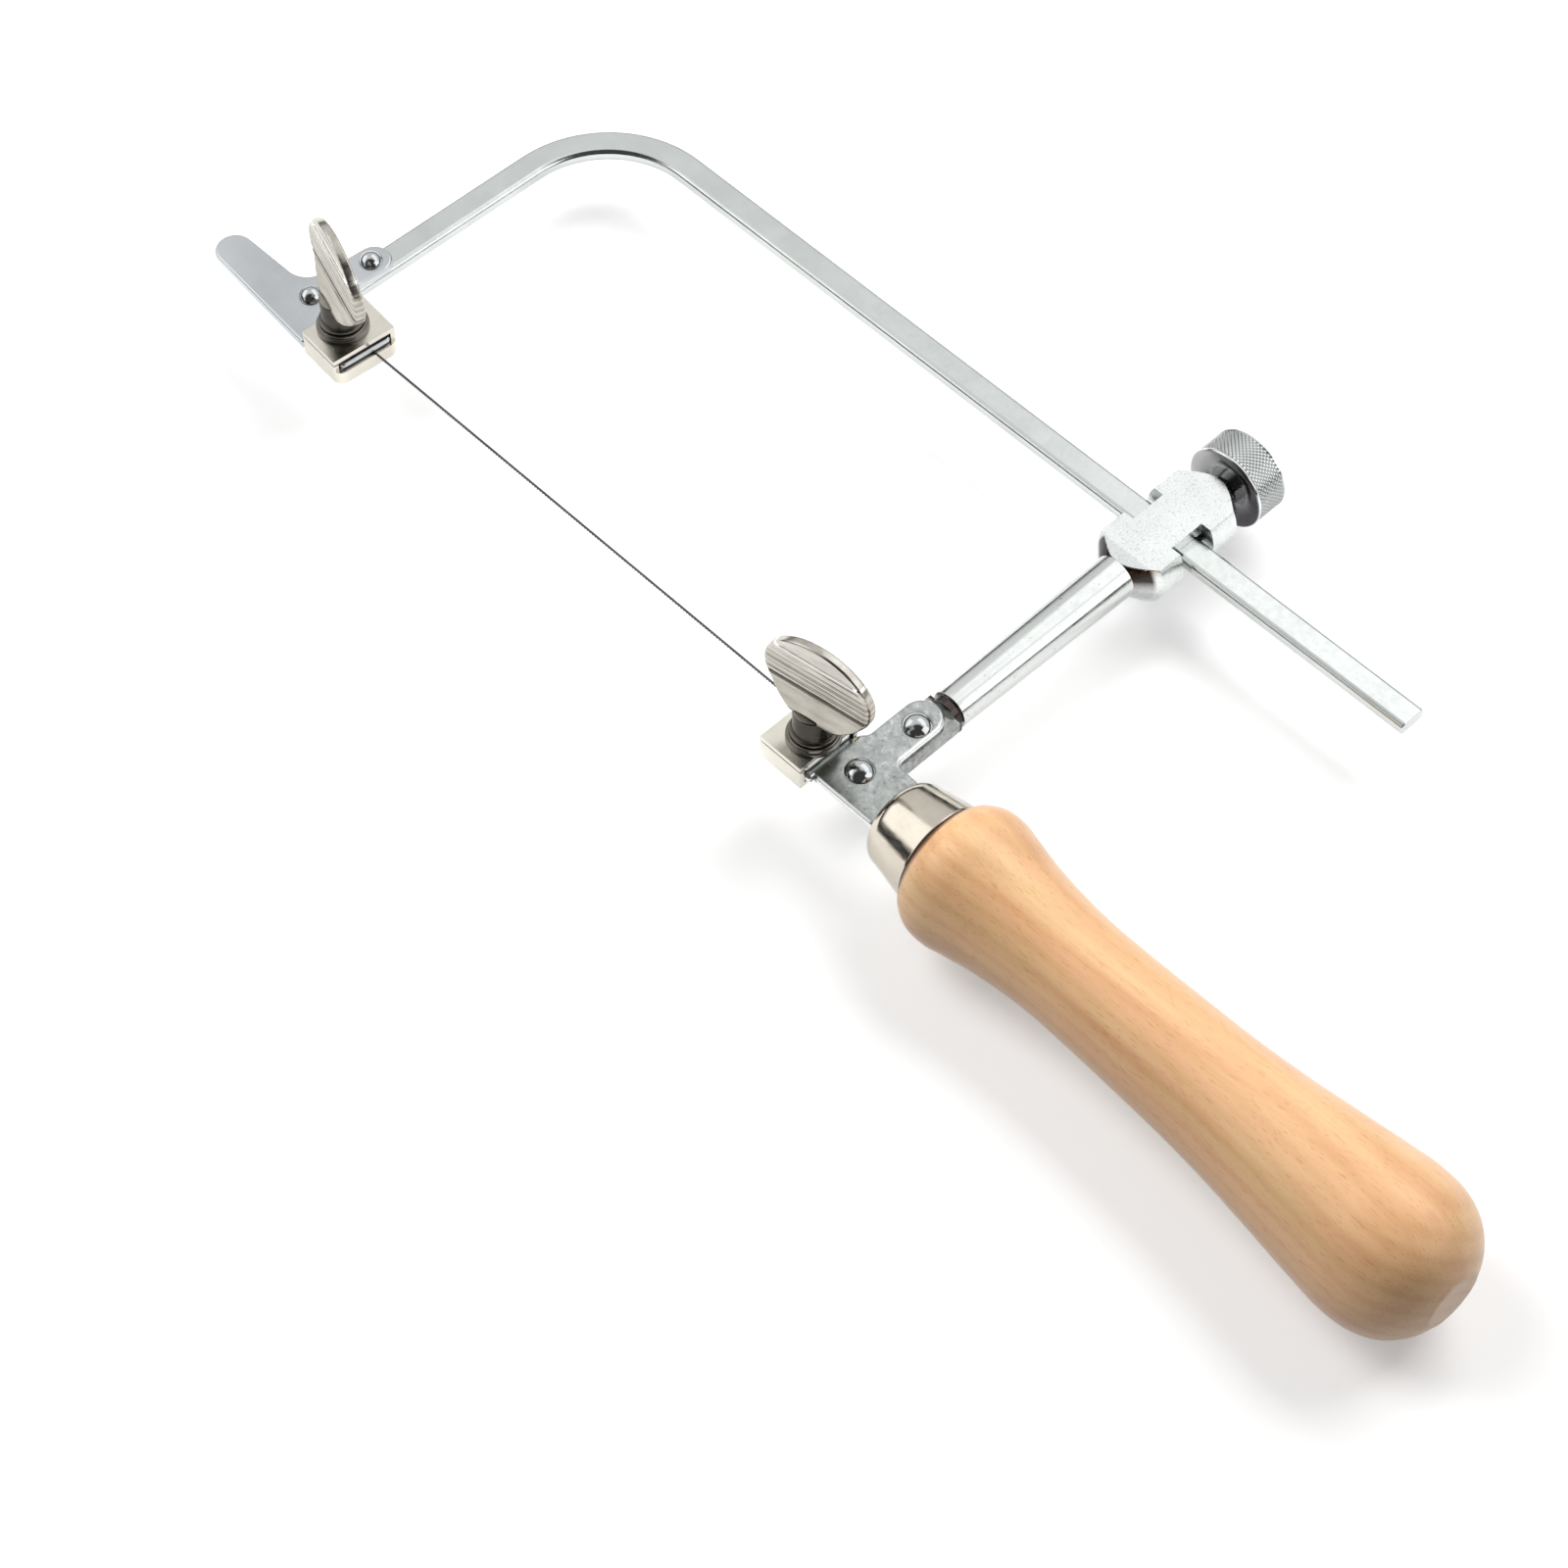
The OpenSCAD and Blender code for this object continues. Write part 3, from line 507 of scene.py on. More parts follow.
def wood_rings(tree):
    node = tree.nodes.new("ShaderNodeTexWave")
    node.wave_type = "RINGS"
    node.rings_direction = "X"
    node.inputs["Scale"].default_value = 95.0
    node.inputs["Distortion"].default_value = 2.2
    node.inputs["Detail"].default_value = 2.0
    node.inputs["Detail Scale"].default_value = 0.4
    place = coordinates(tree, (0.28, 1.0, 1.0), (0.0, 0.075, 0.012))
    tree.links.new(place, node.inputs["Vector"])
    return node.outputs["Fac"]


def beech():
    """Pale lacquered beech: grain along the handle, rings, short dark flecks, and painted shade in the
    seam at the ferrule.
    """
    material, tree, shader = start_material("beech", 0.0, 0.4)
    shader.inputs["Coat Weight"].default_value = 0.35
    shader.inputs["Coat Roughness"].default_value = 0.22
    grain = noise(tree, (14.0, 210.0, 210.0), 5.0, 0.6, 0.4)
    body = ramp(tree, grain, [
        (0.3, tone(241, 184, 136)), (0.5, tone(249, 199, 148)), (0.7, tone(252, 211, 158)),
    ])
    rings = ramp(tree, wood_rings(tree), [(0.0, tone(243, 236, 228)), (0.6, PLAIN)])
    body = multiplied(tree, body, rings, 0.6)
    fleck = noise(tree, (380.0, 3000.0, 3000.0), 2.0, 0.5)
    flecks = ramp(tree, fleck, [(0.3, tone(206, 180, 156)), (0.42, PLAIN)])
    body = multiplied(tree, body, flecks, 0.4)
    # Painted shade: a dark band on the wood where it meets the ferrule
    seam_shade = level_ramp(tree, "X", 42.0, 46.0, [
        (42.9, tone(92, 66, 44)), (43.25, tone(190, 160, 130)), (43.8, PLAIN),
    ])
    tree.links.new(multiplied(tree, body, seam_shade), shader.inputs["Base Color"])
    set_roughness(tree, shader, grain, 0.34, 0.46)
    bumped(tree, shader, fleck, 0.03)
    return material


def make_materials():
    return {
        "bar_steel": metal("bar_steel", ((207, 211, 209), (218, 222, 220)), 0.2),
        "rivet_steel": metal("rivet_steel", ((188, 191, 192), (202, 205, 206)), 0.12, bump=0.004),
        "clamp_nickel": metal(
            "clamp_nickel", ((221, 216, 204), (235, 231, 220)), 0.24, 260.0, 0.05, 0.002),
        "bush_steel": metal("bush_steel", ((104, 101, 97), (136, 132, 127)), 0.2),
        "blade_steel": metal("blade_steel", ((78, 78, 80), (102, 102, 104)), 0.34),
        "ferrule_nickel": metal(
            "ferrule_nickel", ((198, 190, 176), (216, 208, 195)), 0.16, (300.0, 2200.0, 2200.0)),
        "plate_zinc": plate_zinc(),
        "rod_steel": rod_steel(),
        "head_steel": head_steel(),
        "knob_steel": knob_steel(),
        "wing_nickel": wing_nickel(),
        "beech": beech(),
    }


# Mesh building blocks

def turned_rings(bm, profile, count, matrix, warp=None):
    """Rings of a turned shape along its own Z, from (height, radius) pairs."""
    rings = []
    for height, radius in profile:
        ring = []
        for k in range(count):
            turn = 2.0 * math.pi * k / count
            r = radius if warp is None else warp(turn, height, radius)
            ring.append(bm.verts.new(matrix @ Vector((
                r * math.cos(turn) * MM, r * math.sin(turn) * MM, height * MM))))
        rings.append(ring)
    return rings


def skin(bm, rings, close_first=True, close_last=True):
    """Quads between neighbouring rings, and a face over each end asked for."""
    count = len(rings[0])
    for a, b in zip(rings, rings[1:]):
        for k in range(count):
            j = (k + 1) % count
            bm.faces.new((a[k], a[j], b[j], b[k]))
    if close_first:
        bm.faces.new(list(reversed(rings[0])))
    if close_last:
        bm.faces.new(rings[-1])


def turned(bm, profile, matrix, count=96):
    skin(bm, turned_rings(bm, profile, count, matrix))


def arc(centre, radius, start, end, steps):
    """Points (height, radius) on an arc, from start to end in degrees."""
    points = []
    for k in range(steps + 1):
        turn = math.radians(start + (end - start) * k / steps)
        points.append((centre[0] + radius * math.sin(turn), centre[1] + radius * math.cos(turn)))
    return points


def add_piece(node, bm, materials, edge=None, angle=32.0, segments=2):
    """Make the piece that stands for a node of the CAD model, its edges rounded by edge."""
    body, slot = PIECES[node]
    mesh = bpy.data.meshes.new(node + "_look")
    bmesh.ops.recalc_face_normals(bm, faces=bm.faces)
    for face in bm.faces:
        face.smooth = True
    bm.to_mesh(mesh)
    bm.free()
    mesh.materials.append(materials[LOOKS.get(node, slot)])
    obj = bpy.data.objects.new(node + "_look", mesh)
    bpy.context.scene.collection.objects.link(obj)
    if edge:
        bevel = obj.modifiers.new("edges", "BEVEL")
        bevel.width = edge * MM
        bevel.segments = segments
        bevel.limit_method = "ANGLE"
        bevel.angle_limit = math.radians(angle)
        bevel.harden_normals = True
        bevel.use_clamp_overlap = node not in OPEN_EDGED
        normals = obj.modifiers.new("normals", "WEIGHTED_NORMAL")
        normals.weight = 60
    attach(obj, body)
    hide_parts(node)
    return obj


def solid_copy(node):
    """The mesh of a CAD node with its flat faces whole again."""
    bm = bmesh.new()
    bm.from_mesh(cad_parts[node].data)
    bmesh.ops.remove_doubles(bm, verts=bm.verts, dist=0.001 * MM)
    bmesh.ops.dissolve_limit(
        bm, angle_limit=math.radians(0.4), verts=bm.verts, edges=bm.edges, use_dissolve_boundaries=False)
    return bm


def make_edged(materials):
    for node, (edge, steps) in EDGED.items():
        add_piece(node, solid_copy(node), materials, edge, segments=steps)


# Spine bar

def bar_section():
    """Outline of the bar's section: across the bar, and up."""
    points = []
    for sx, sy, start in ((1, 1, 0), (-1, 1, 90), (-1, -1, 180), (1, -1, 270)):
        x, y = sx * (BAR_W / 2 - BAR_ROUND), sy * (BAR_T / 2 - BAR_ROUND)
        for k in range(CORNER_STEPS + 1):
            turn = math.radians(start + 90.0 * k / CORNER_STEPS)
            points.append((x + BAR_ROUND * math.cos(turn), y + BAR_ROUND * math.sin(turn)))
    return points


def bar_path():
    """Places along the bar's middle line, each with the direction to its outer side."""
    cx, cy = BEND_AT
    path = [((BAR_END, cy + BEND_R), 90.0)]
    for k in range(TAIL_STEPS - 1, 0, -1):
        path.append(((cx + (BAR_END - cx) * k / TAIL_STEPS, cy + BEND_R), 90.0))
    sweep = 90.0 - ARM_SPLAY
    for k in range(BEND_STEPS + 1):
        turn = 90.0 + sweep * k / BEND_STEPS
        path.append(((cx + BEND_R * math.cos(math.radians(turn)),
            cy + BEND_R * math.sin(math.radians(turn))), turn))
    (x, y), turn = path[-1]
    a = math.radians(turn + 90.0)
    for k in range(1, ARM_STEPS + 1):
        along = ARM_L * k / ARM_STEPS
        path.append(((x + along * math.cos(a), y + along * math.sin(a)), turn))
    return path


def make_bar(materials):
    bm = bmesh.new()
    rings = []
    section = bar_section()
    for (x, y), turn in bar_path():
        c, s = math.cos(math.radians(turn)), math.sin(math.radians(turn))
        places = [Vector((x + u * c, y + u * s, BAR_Z + v)) * MM for u, v in section]
        rings.append([bm.verts.new(place) for place in places])
    skin(bm, rings)
    add_piece("frame_bar", bm, materials, 0.3, 50.0, 3)


# Rivets

def rivet_profile(radius):
    """Tail, shank and domed head, with the plate's top at height 0."""
    under = -PLATE_T - BAR_T
    ball_r = (radius ** 2 + RIVET_H ** 2) / (2 * RIVET_H)
    start = math.degrees(math.asin((ball_r - RIVET_H) / ball_r))
    tail = [
        (under - RIVET_TAIL_H, RIVET_TAIL_R * 0.55), (under - RIVET_TAIL_H * 0.4, RIVET_TAIL_R * 0.92),
        (under, RIVET_TAIL_R), (under, RIVET_SHANK_R), (0.0, RIVET_SHANK_R), (0.0, radius),
    ]
    return tail + arc((RIVET_H - ball_r, 0.0), ball_r, start, 88.0, 14)[1:]


def make_rivets(node, places, radius, matrix, materials):
    bm = bmesh.new()
    for x, y in places:
        at = matrix @ Matrix.Translation(Vector((x, y, PLATE_TOP)) * MM)
        turned(bm, rivet_profile(radius), at, 48)
    add_piece(node, bm, materials)


# Wing screws

def convex_hull(points):
    """Outline round all the points, anticlockwise."""
    points = sorted(set(points))
    halves = []
    for run in (points, list(reversed(points))):
        half = []
        for p in run:
            while len(half) > 1:
                (ax, ay), (bx, by) = half[-2], half[-1]
                if (bx - ax) * (p[1] - ay) - (by - ay) * (p[0] - ax) > 0:
                    break
                half.pop()
            half.append(p)
        halves.append(half[:-1])
    return halves[0] + halves[1]


def wing_outline():
    """Outline of a wing, with its foot on the neck: across, and up from the plates."""
    points = []
    for k in range(WING_STEPS):
        turn = 2.0 * math.pi * k / WING_STEPS
        points.append((WING_SHIFT + WING_W / 2 * math.cos(turn), WING_Z + WING_H / 2 * math.sin(turn)))
    points += [(-WING_FOOT, NECK_TOP - 0.02), (WING_FOOT, NECK_TOP - 0.02)]
    return convex_hull(points)


def width_at(outline, z):
    """Left and right ends of a convex outline at height z."""
    ends = []
    for (ax, az), (bx, bz) in zip(outline, outline[1:] + outline[:1]):
        if (az - z) * (bz - z) <= 0 and az != bz:
            ends.append(ax + (bx - ax) * (z - az) / (bz - az))
    return min(ends), max(ends)


def distance_in(outline, x, z):
    """Distance from a point inside to the outline."""
    best = 1e9
    for (ax, az), (bx, bz) in zip(outline, outline[1:] + outline[:1]):
        dx, dz = bx - ax, bz - az
        share = ((x - ax) * dx + (z - az) * dz) / (dx * dx + dz * dz)
        share = min(1.0, max(0.0, share))
        best = min(best, math.hypot(x - ax - share * dx, z - az - share * dz))
    return best


def wing_rows(top):
    """Heights of the rows of a wing, close together at the grooves and at the top."""
    heights = [NECK_TOP + k * 0.55 for k in range(14)]
    for z, w in zip(GROOVES, GROOVE_W):
        heights += [z + w * s for s in (-0.5, -0.38, -0.2, 0.0, 0.2, 0.38, 0.5)]
    heights += [STEP_Z - 0.12, STEP_Z - 0.03, STEP_Z + 0.03, STEP_Z + STEP_W / 2]
    heights += [STEP_Z + STEP_W - 0.03, STEP_Z + STEP_W + 0.03, STEP_Z + STEP_W + 0.12]
    rest = top - STEP_Z - STEP_W - 0.3
    for turn in (4, 14, 26, 38, 50, 62, 73, 82, 87):
        heights.append(top - rest * (1.0 - math.sin(math.radians(turn))))
    heights = sorted(h for h in heights if h < top - 0.004)
    return [h for k, h in enumerate(heights) if k == 0 or h - heights[k - 1] > 0.03]


def wing_half(z, edge):
    """Half the wing's thickness at height z, edge being the distance to its outline."""
    share = min(1.0, max(0.0, (z - WEDGE_TOP) / (WING_Z + WING_H / 2 - WEDGE_TOP)))
    flat = (WING_T + (WING_RIM_T - WING_T) * share) / 2
    drop = min(1.0, max(0.0, (z - NECK_TOP) / (WEDGE_TOP - NECK_TOP)))
    half = flat + max(0.0, WEDGE_HALF - flat) * (1.0 - drop) ** 1.25
    half -= STEP_D * min(1.0, max(0.0, (z - STEP_Z) / STEP_W)) * min(1.0, edge / 1.2)
    for centre, width, depth in zip(GROOVES, GROOVE_W, GROOVE_D):
        near = abs(z - centre) / (width / 2)
        if near < 1.0:
            half -= depth * (1.0 - near ** 1.6) * min(1.0, edge / 0.8)
    if edge < WING_ROUND:
        lean = 1.0 - edge / WING_ROUND
        half -= min(WING_ROUND, flat - 0.1) * (1.0 - math.sqrt(max(0.0, 1.0 - lean * lean)))
    return half


def add_wing(bm, matrix):
    outline = wing_outline()
    top = WING_Z + WING_H / 2
    shares = [0.5 - 0.5 * math.cos(math.pi * k / WING_COLUMNS) for k in range(WING_COLUMNS + 1)]
    sides = {-1: [], 1: []}
    for z in wing_rows(top):
        left, right = width_at(outline, z)
        for s in (-1, 1):
            row = []
            for share in shares:
                x = left + (right - left) * share
                half = wing_half(z, distance_in(outline, x, z))
                row.append(bm.verts.new(matrix @ (Vector((x, s * half, z)) * MM)))
            sides[s].append(row)
    for s in (-1, 1):
        for a, b in zip(sides[s], sides[s][1:]):
            for k in range(WING_COLUMNS):
                bm.faces.new((a[k], a[k + 1], b[k + 1], b[k]))
    for a, b in zip(range(len(sides[1]) - 1), range(1, len(sides[1]))):
        for k in (0, WING_COLUMNS):
            bm.faces.new((sides[1][a][k], sides[1][b][k], sides[-1][b][k], sides[-1][a][k]))
    for row in (0, -1):
        bm.faces.new(sides[1][row] + list(reversed(sides[-1][row])))


def make_wing_screw(node, place, turn, materials):
    matrix = (Matrix.Translation(Vector((place[0], place[1], PLATE_TOP)) * MM)
        @ Matrix.Rotation(math.radians(turn), 4, "Z"))
    bm = bmesh.new()
    collar_top = COLLAR_Z + COLLAR_H
    profile = [
        (SHANK_FROM, SHANK_R - 0.5), (SHANK_FROM + 0.5, SHANK_R), (COLLAR_Z, SHANK_R),
        (COLLAR_Z, COLLAR_R - 0.25), (COLLAR_Z + 0.1, COLLAR_R - 0.08), (COLLAR_Z + 0.3, COLLAR_R),
    ]
    profile += arc((collar_top - 0.35, COLLAR_R - 0.35), 0.35, 0.0, 90.0, 4)
    profile += [
        (collar_top, NECK_R + 0.12), (collar_top + 0.06, NECK_R + 0.03), (collar_top + 0.2, NECK_R),
        (NECK_TOP - 0.25, NECK_R), (NECK_TOP - 0.06, NECK_R - 0.08), (NECK_TOP, NECK_R - 0.28),
    ]
    turned(bm, profile, matrix, 72)
    add_wing(bm, matrix)
    add_piece(node, bm, materials)


# Blade

def make_blade(materials):
    bm = bmesh.new()
    root = BLADE_TIP_Y + TOOTH_H
    lean = TOOTH_LEAN * TOOTH_PITCH
    teeth = int((TEETH_X[1] - TEETH_X[0]) / TOOTH_PITCH)
    roots = [TEETH_X[0] + k * TOOTH_PITCH for k in range(teeth + 1)]
    xs = [BLADE_X[0]] + roots + [BLADE_X[1]]
    sides = []
    for z in (BLADE_Z, BLADE_Z + BLADE_T):
        back = [bm.verts.new(Vector((x, BLADE_BACK_Y, z)) * MM) for x in xs]
        front = [bm.verts.new(Vector((x, root, z)) * MM) for x in xs]
        tips = [bm.verts.new(Vector((x + lean, BLADE_TIP_Y, z)) * MM) for x in roots[:-1]]
        for k in range(len(xs) - 1):
            bm.faces.new((back[k], back[k + 1], front[k + 1], front[k]))
        edge = front[:2]
        for k, tip in enumerate(tips):
            bm.faces.new((front[k + 1], front[k + 2], tip))
            edge += [tip, front[k + 2]]
        sides.append((back, edge + [front[-1]]))
    for a, b in zip(*sides):
        for k in range(len(a) - 1):
            bm.faces.new((a[k], a[k + 1], b[k + 1], b[k]))
    (low_back, low_edge), (high_back, high_edge) = sides
    for k in (0, -1):
        bm.faces.new((low_back[k], low_edge[k], high_edge[k], high_back[k]))
    obj = add_piece("saw_blade", bm, materials)
    for face in obj.data.polygons:
        face.use_smooth = False


# Knob

def triangle_wave(t):
    return 1.0 - abs(2.0 * (t - math.floor(t)) - 1.0)


def make_knob(materials):
    matrix = Matrix.Translation(Vector(KNOB_AT) * MM) @ Matrix.Rotation(math.radians(-90.0), 4, "X")
    pitch = 2.0 * math.pi * KNOB_R / KNURL_COUNT
    low, high = KNOB_EDGE + 0.25, KNOB_L - KNOB_CHAMFER - 0.1
    rows = int(round((high - low) / pitch * KNURL_STEPS))
    step = (high - low) / rows

    def knurl(turn, height, radius):
        """Radius with the grooves of the knurl cut in, which fade out at both ends."""
        if radius < KNOB_R - 0.001 or height < low or height > high:
            return radius
        around = turn * KNURL_COUNT / (2.0 * math.pi)
        along = (height - low) / (step * KNURL_STEPS)
        rise = min(triangle_wave(around + along), triangle_wave(around - along), 0.8) / 0.8
        fade = min(1.0, (height - low) / 0.2, (high - height) / 0.2)
        return radius - KNURL_DEPTH * (1.0 - rise) * max(0.0, fade)

    face = KNOB_L - DISH_D
    rim_r = KNOB_R - KNOB_CHAMFER
    profile = [
        (face, KNOB_BORE_R), (0.0, KNOB_BORE_R), (0.0, KNOB_R - KNOB_EDGE),
        (0.06, KNOB_R - 0.3), (0.2, KNOB_R - 0.08), (KNOB_EDGE, KNOB_R),
    ]
    profile += [(low + k * step, KNOB_R) for k in range(rows + 1)]
    profile += [
        (KNOB_L - KNOB_CHAMFER, KNOB_R - 0.06), (KNOB_L - 0.12, rim_r + 0.12), (KNOB_L, rim_r - 0.12),
        (KNOB_L, DISH_R + 0.12), (KNOB_L - 0.1, DISH_R), (face + 0.1, DISH_R - 0.04),
        (face, DISH_R - 0.2),
    ]
    bm = bmesh.new()
    rings = turned_rings(bm, profile, KNURL_COUNT * KNURL_STEPS, matrix, knurl)
    skin(bm, rings, False, False)
    skin(bm, [rings[-1], rings[0]], False, False)
    add_piece("clamp_knob", bm, materials)


# Handle and ferrule

def handle_matrix():
    lean = Matrix.Rotation(math.radians(-HANDLE_LEAN), 4, "Z")
    lie = Matrix.Rotation(math.radians(90.0), 4, "Y")
    return Matrix.Translation(Vector(HANDLE_AT) * MM) @ lean @ lie


def curve_point(a, b, c, d, t):
    """Point on the smooth curve from b to c, at share t."""
    return tuple(
        0.5 * (2 * q + (r - p) * t + (2 * p - 5 * q + 4 * r - s) * t * t
               + (3 * q - p - 3 * r + s) * t * t * t)
        for p, q, r, s in zip(a, b, c, d))


def smooth_line(points, steps):
    ends = [points[0]] + list(points) + [points[-1]]
    line = []
    for a, b, c, d in zip(ends, ends[1:], ends[2:], ends[3:]):
        line += [curve_point(a, b, c, d, k / steps) for k in range(steps)]
    return line + [points[-1]]


def slot_ring(bm, height, width, matrix):
    """A ring laid on the outline of the tang's slot, point for point with a round ring."""
    half_w, half_t = width / 2 + SEAT_FIT, PLATE_T / 2 + SEAT_FIT
    ring = []
    for k in range(HANDLE_COUNT):
        turn = 2.0 * math.pi * k / HANDLE_COUNT
        c, s = math.cos(turn), math.sin(turn)
        reach = min(half_t / max(abs(c), 1e-6), half_w / max(abs(s), 1e-6))
        ring.append(bm.verts.new(matrix @ (Vector((reach * c, reach * s, height)) * MM)))
    return ring


def make_handle(materials):
    matrix = handle_matrix()
    start, end = FERRULE_L + WOOD_SEAM, FERRULE_L + HANDLE_L
    wood = [(start + s * (end - start), r * HANDLE_R) for s, r in HANDLE_SHARES]
    front_z = FERRULE_WALL + SEAT_FIT
    front_r = FERRULE_R - FERRULE_WALL - FERRULE_RIM_R / 2 - SEAT_FIT
    back_r = FERRULE_BACK_R - FERRULE_WALL - SEAT_FIT
    butt_r = HANDLE_R * HANDLE_SHARES[-1][1]
    bm = bmesh.new()
    slot = [
        slot_ring(bm, TANG_L + SEAT_FIT, TANG_END_W, matrix),
        slot_ring(bm, front_z, TANG_W, matrix),
    ]
    profile = [(front_z, front_r), (start, back_r)] + smooth_line(wood, 8)
    profile += [(end, butt_r * 0.75), (end, butt_r * 0.4)]
    profile = [(min(h, end), r) for h, r in profile]
    skin(bm, slot + turned_rings(bm, profile, HANDLE_COUNT, matrix))
    add_piece("wood_handle", bm, materials)


def make_ferrule(materials):
    matrix = handle_matrix()
    profile = arc((FERRULE_RIM_R, FERRULE_R - FERRULE_RIM_R), FERRULE_RIM_R, -90.0, 0.0, 8)
    profile += [
        (FERRULE_L - 0.45, FERRULE_BACK_R - 0.055), (FERRULE_L - 0.12, FERRULE_BACK_R - 0.1),
        (FERRULE_L, FERRULE_BACK_R - 0.3), (FERRULE_L, FERRULE_BACK_R - FERRULE_WALL),
        (FERRULE_WALL, FERRULE_R - FERRULE_WALL - FERRULE_RIM_R / 2),
    ]
    bm = bmesh.new()
    shell = turned_rings(bm, profile, HANDLE_COUNT, matrix)
    first = slot_ring(bm, 0.0, TANG_W, matrix)
    last = slot_ring(bm, FERRULE_WALL, TANG_W, matrix)
    skin(bm, [first] + shell + [last], False, False)
    skin(bm, [last, first], False, False)
    add_piece("ferrule", bm, materials, 0.12, 40.0)


# Floor, world, lights and camera

def seen_rays(tree):
    """1 for camera, glossy and transmission rays, 0 for the light itself."""
    path = tree.nodes.new("ShaderNodeLightPath")
    seen = path.outputs["Is Camera Ray"]
    for name in ("Is Glossy Ray", "Is Transmission Ray"):
        seen = calculated(tree, "MAXIMUM", seen, path.outputs[name])
    return seen


def mix_shaders(tree, factor, first, second):
    node = tree.nodes.new("ShaderNodeMixShader")
    tree.links.new(factor, node.inputs["Fac"])
    tree.links.new(first, node.inputs[1])
    tree.links.new(second, node.inputs[2])
    return node.outputs["Shader"]


def floor_material():
    """Grey cloth to the light, and pale to the eye, glowing to white far from the saw."""
    material = bpy.data.materials.new("floor")
    material.use_nodes = True
    tree = material.node_tree
    tree.nodes.clear()
    out = tree.nodes.new("ShaderNodeOutputMaterial")
    cloth = tree.nodes.new("ShaderNodeBsdfDiffuse")
    cloth.inputs["Color"].default_value = grey(FLOOR_LIT)
    pale = tree.nodes.new("ShaderNodeBsdfDiffuse")
    pale.inputs["Color"].default_value = grey(FLOOR_SEEN)
    glow = tree.nodes.new("ShaderNodeEmission")
    reach = length(tree, coordinates(tree))
    rise = mapped(tree, reach, GLOW_FROM * MM, GLOW_TO * MM, FLOOR_GLOW, 1.0)
    tree.links.new(rise, glow.inputs["Strength"])
    lift = tree.nodes.new("ShaderNodeAddShader")
    tree.links.new(pale.outputs["BSDF"], lift.inputs[0])
    tree.links.new(glow.outputs["Emission"], lift.inputs[1])
    surface = mix_shaders(tree, seen_rays(tree), cloth.outputs["BSDF"], lift.outputs["Shader"])
    tree.links.new(surface, out.inputs["Surface"])
    return material


def make_floor():
    bm = bmesh.new()
    bmesh.ops.create_grid(bm, x_segments=8, y_segments=8, size=FLOOR_HALF)
    mesh = bpy.data.meshes.new("floor")
    bm.to_mesh(mesh)
    bm.free()
    floor = bpy.data.objects.new("floor", mesh)
    floor.location.z = -FLOOR_DROP * MM
    bpy.context.scene.collection.objects.link(floor)
    floor.data.materials.append(floor_material())


def window(tree, view, direction, along, half_w, half_h):
    """1 inside a soft-edged window of the sky, seen in the given direction, else 0."""
    centre = Vector(direction).normalized()
    flat = (Vector(along) - centre * centre.dot(Vector(along))).normalized()
    inside = mapped(tree, dot(tree, view, centre), 0.0, 0.1, 0.0, 1.0)
    for axis, half in ((flat, half_w), (centre.cross(flat), half_h)):
        off = calculated(tree, "ABSOLUTE", dot(tree, view, axis))
        share = mapped(tree, off, half - WINDOW_BLUR, half + WINDOW_BLUR, 1.0, 0.0)
        inside = calculated(tree, "MULTIPLY", inside, share)
    return inside


def background(tree, level, colour=None):
    node = tree.nodes.new("ShaderNodeBackground")
    node.inputs["Color"].default_value = grey(1.0)
    node.inputs["Strength"].default_value = level
    if colour is not None:
        tree.links.new(colour, node.inputs["Color"])
    return node.outputs["Background"]


def make_world():
    """Even light from above; metal sees a pale tent, dark near the floor and by the camera."""
    world = bpy.data.worlds.new("world")
    bpy.context.scene.world = world
    world.use_nodes = True
    tree = world.node_tree
    tree.nodes.clear()
    out = tree.nodes.new("ShaderNodeOutputWorld")
    view = tree.nodes.new("ShaderNodeTexCoord").outputs["Generated"]
    height = mapped(tree, component(tree, view, "Z"), -1.0, 1.0, 0.0, 1.0)
    near = mapped(tree, dot(tree, view, DARK_SIDE), -1.0, 1.0, 0.0, 1.0)
    tent = multiplied(
        tree, ramp(tree, height, [(at, grey(level)) for at, level in TENT_BY_HEIGHT]),
        ramp(tree, near, [(at, grey(level)) for at, level in TENT_BY_SIDE]))
    for direction, along, half_w, half_h, level in WINDOWS:
        pane = ramp(tree, height, [(0.0, grey(level)), (1.0, grey(level))])
        tent = mixed(tree, window(tree, view, direction, along, half_w, half_h), tent, pane)
    sky = ramp(tree, height, [(at, grey(level)) for at, level in SKY_BY_HEIGHT])
    mirrored = mix_shaders(
        tree, seen_rays(tree), background(tree, SKY_LEVEL, sky), background(tree, TENT_LEVEL, tent))
    camera_ray = tree.nodes.new("ShaderNodeLightPath").outputs["Is Camera Ray"]
    surface = mix_shaders(tree, camera_ray, mirrored, background(tree, 1.0))
    tree.links.new(surface, out.inputs["Surface"])


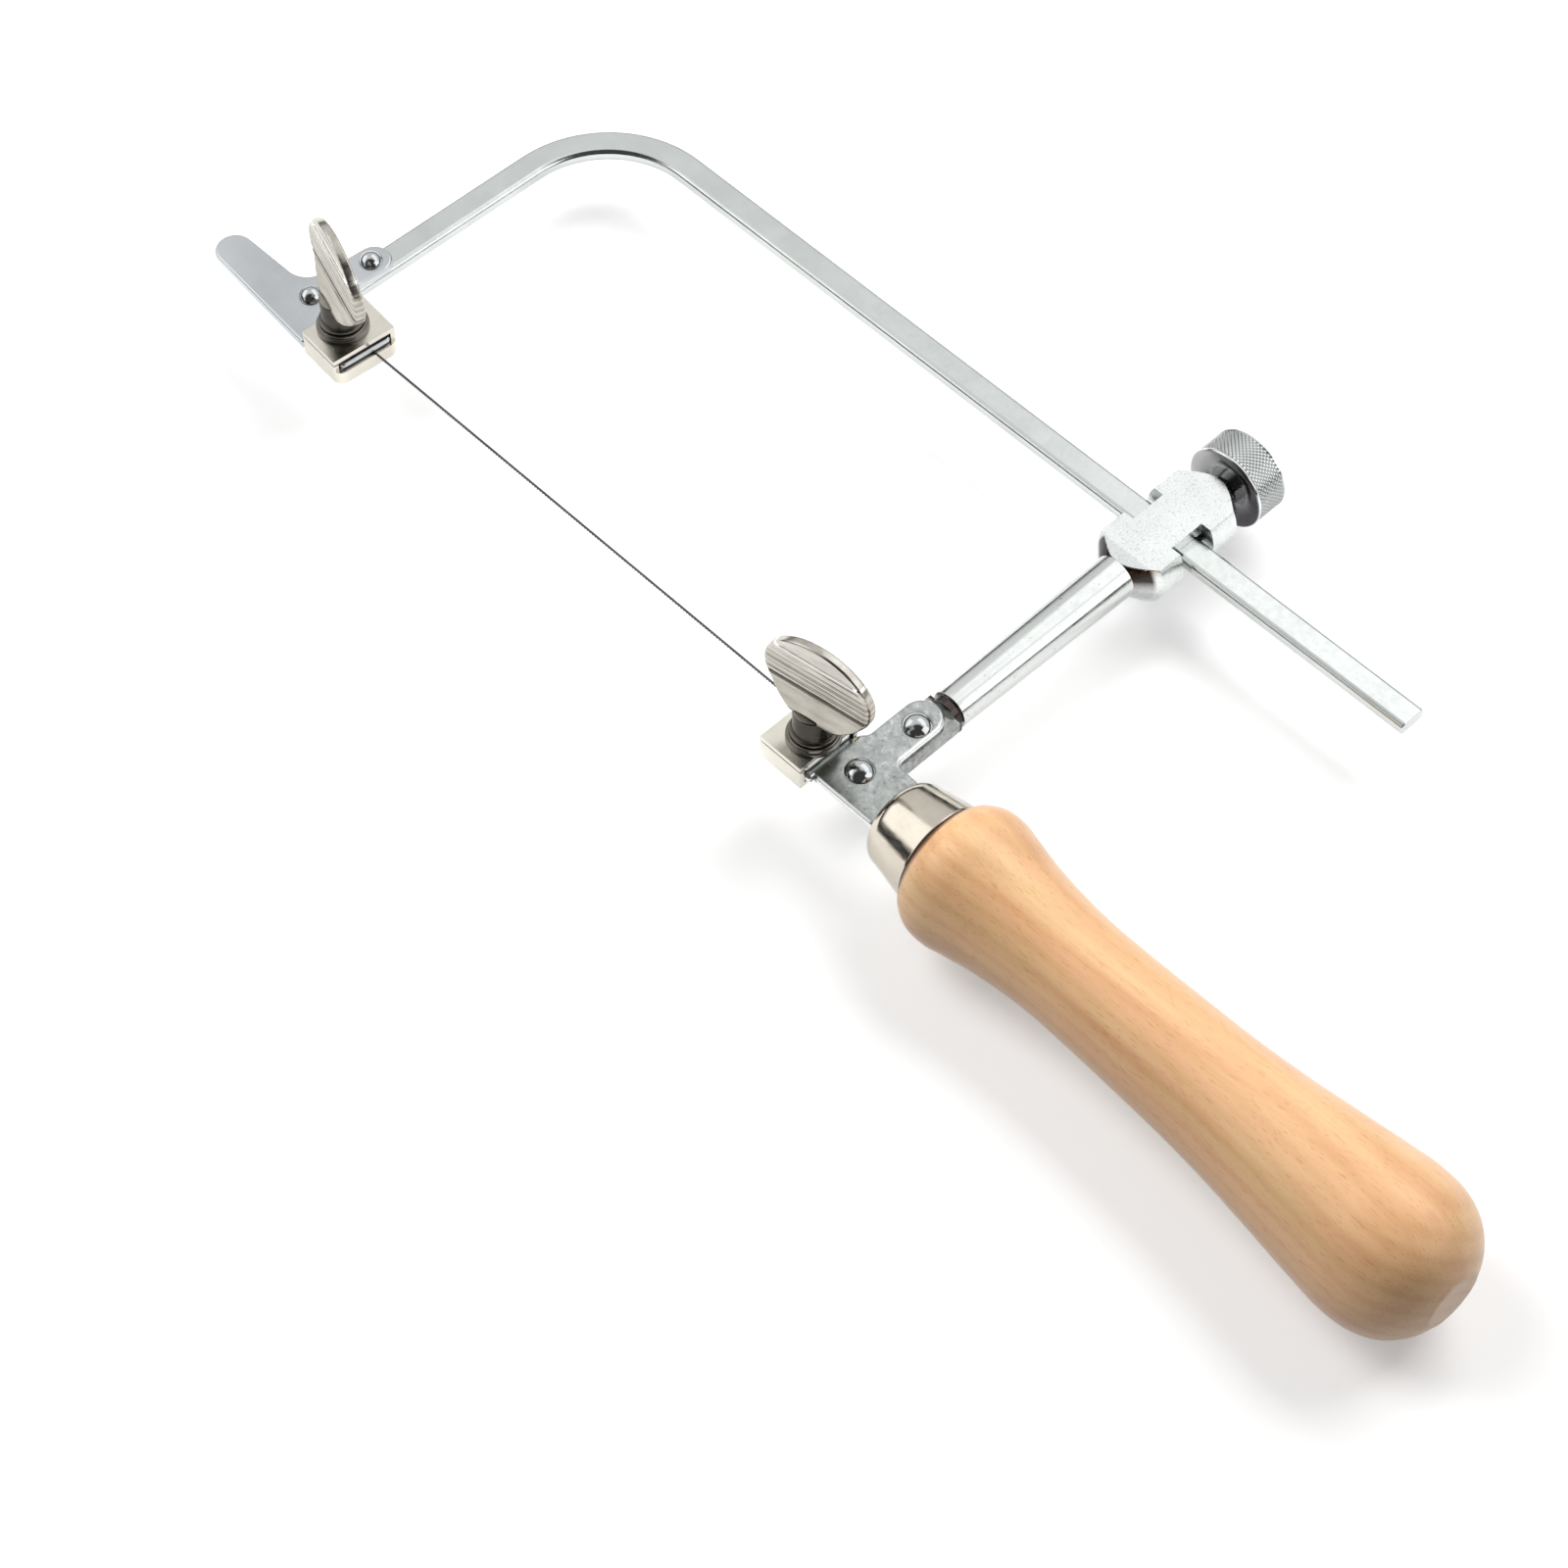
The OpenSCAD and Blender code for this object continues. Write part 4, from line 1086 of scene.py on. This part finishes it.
def make_softboxes():
    for k, (direction, distance, width, height, power) in enumerate(SOFTBOXES):
        data = bpy.data.lights.new("softbox_%d" % (k + 1), "AREA")
        data.shape = "RECTANGLE"
        data.size = width
        data.size_y = height
        data.energy = power
        lamp = bpy.data.objects.new(data.name, data)
        away = Vector(direction).normalized()
        lamp.location = away * distance
        lamp.visible_glossy = False
        lamp.rotation_mode = "QUATERNION"
        lamp.rotation_quaternion = away.to_track_quat("Z", "Y")
        bpy.context.scene.collection.objects.link(lamp)


def make_camera():
    a, e, roll = CAMERA_AZIMUTH, CAMERA_ELEVATION, CAMERA_ROLL
    back = Vector((math.sin(a) * math.cos(e), -math.cos(a) * math.cos(e), math.sin(e)))
    level = Vector((math.cos(a), math.sin(a), 0.0))
    up = back.cross(level)
    right = level * math.cos(roll) + up * math.sin(roll)
    top = up * math.cos(roll) - level * math.sin(roll)
    data = bpy.data.cameras.new("camera")
    data.sensor_width = SENSOR
    data.lens = CAMERA_LENS
    data.clip_start = 0.01
    camera = bpy.data.objects.new("camera", data)
    camera.matrix_world = Matrix((
        (right.x, top.x, back.x, CAMERA_AT.x),
        (right.y, top.y, back.y, CAMERA_AT.y),
        (right.z, top.z, back.z, CAMERA_AT.z),
        (0.0, 0.0, 0.0, 1.0),
    ))
    bpy.context.scene.collection.objects.link(camera)
    bpy.context.scene.camera = camera


def main():
    materials = make_materials()
    at_front = (Matrix.Translation(Vector((FRONT_SCREW[0], FRONT_SCREW[1], 0.0)) * MM)
        @ Matrix.Rotation(math.radians(FRONT_TURN), 4, "Z"))
    make_edged(materials)
    make_rivets("front_rivets", FRONT_RIVETS, FRONT_RIVET_R, at_front, materials)
    make_rivets("lower_rivets", LOWER_RIVETS, LOWER_RIVET_R, Matrix.Identity(4), materials)
    make_wing_screw("front_wing_screw", FRONT_SCREW, FRONT_WING_TURN, materials)
    make_wing_screw("lower_wing_screw", LOWER_SCREW, LOWER_WING_TURN, materials)
    make_bar(materials)
    make_blade(materials)
    make_knob(materials)
    make_handle(materials)
    make_ferrule(materials)
    make_floor()
    make_world()
    make_softboxes()
    make_camera()
    bpy.context.scene.view_settings.view_transform = "Standard"


main()
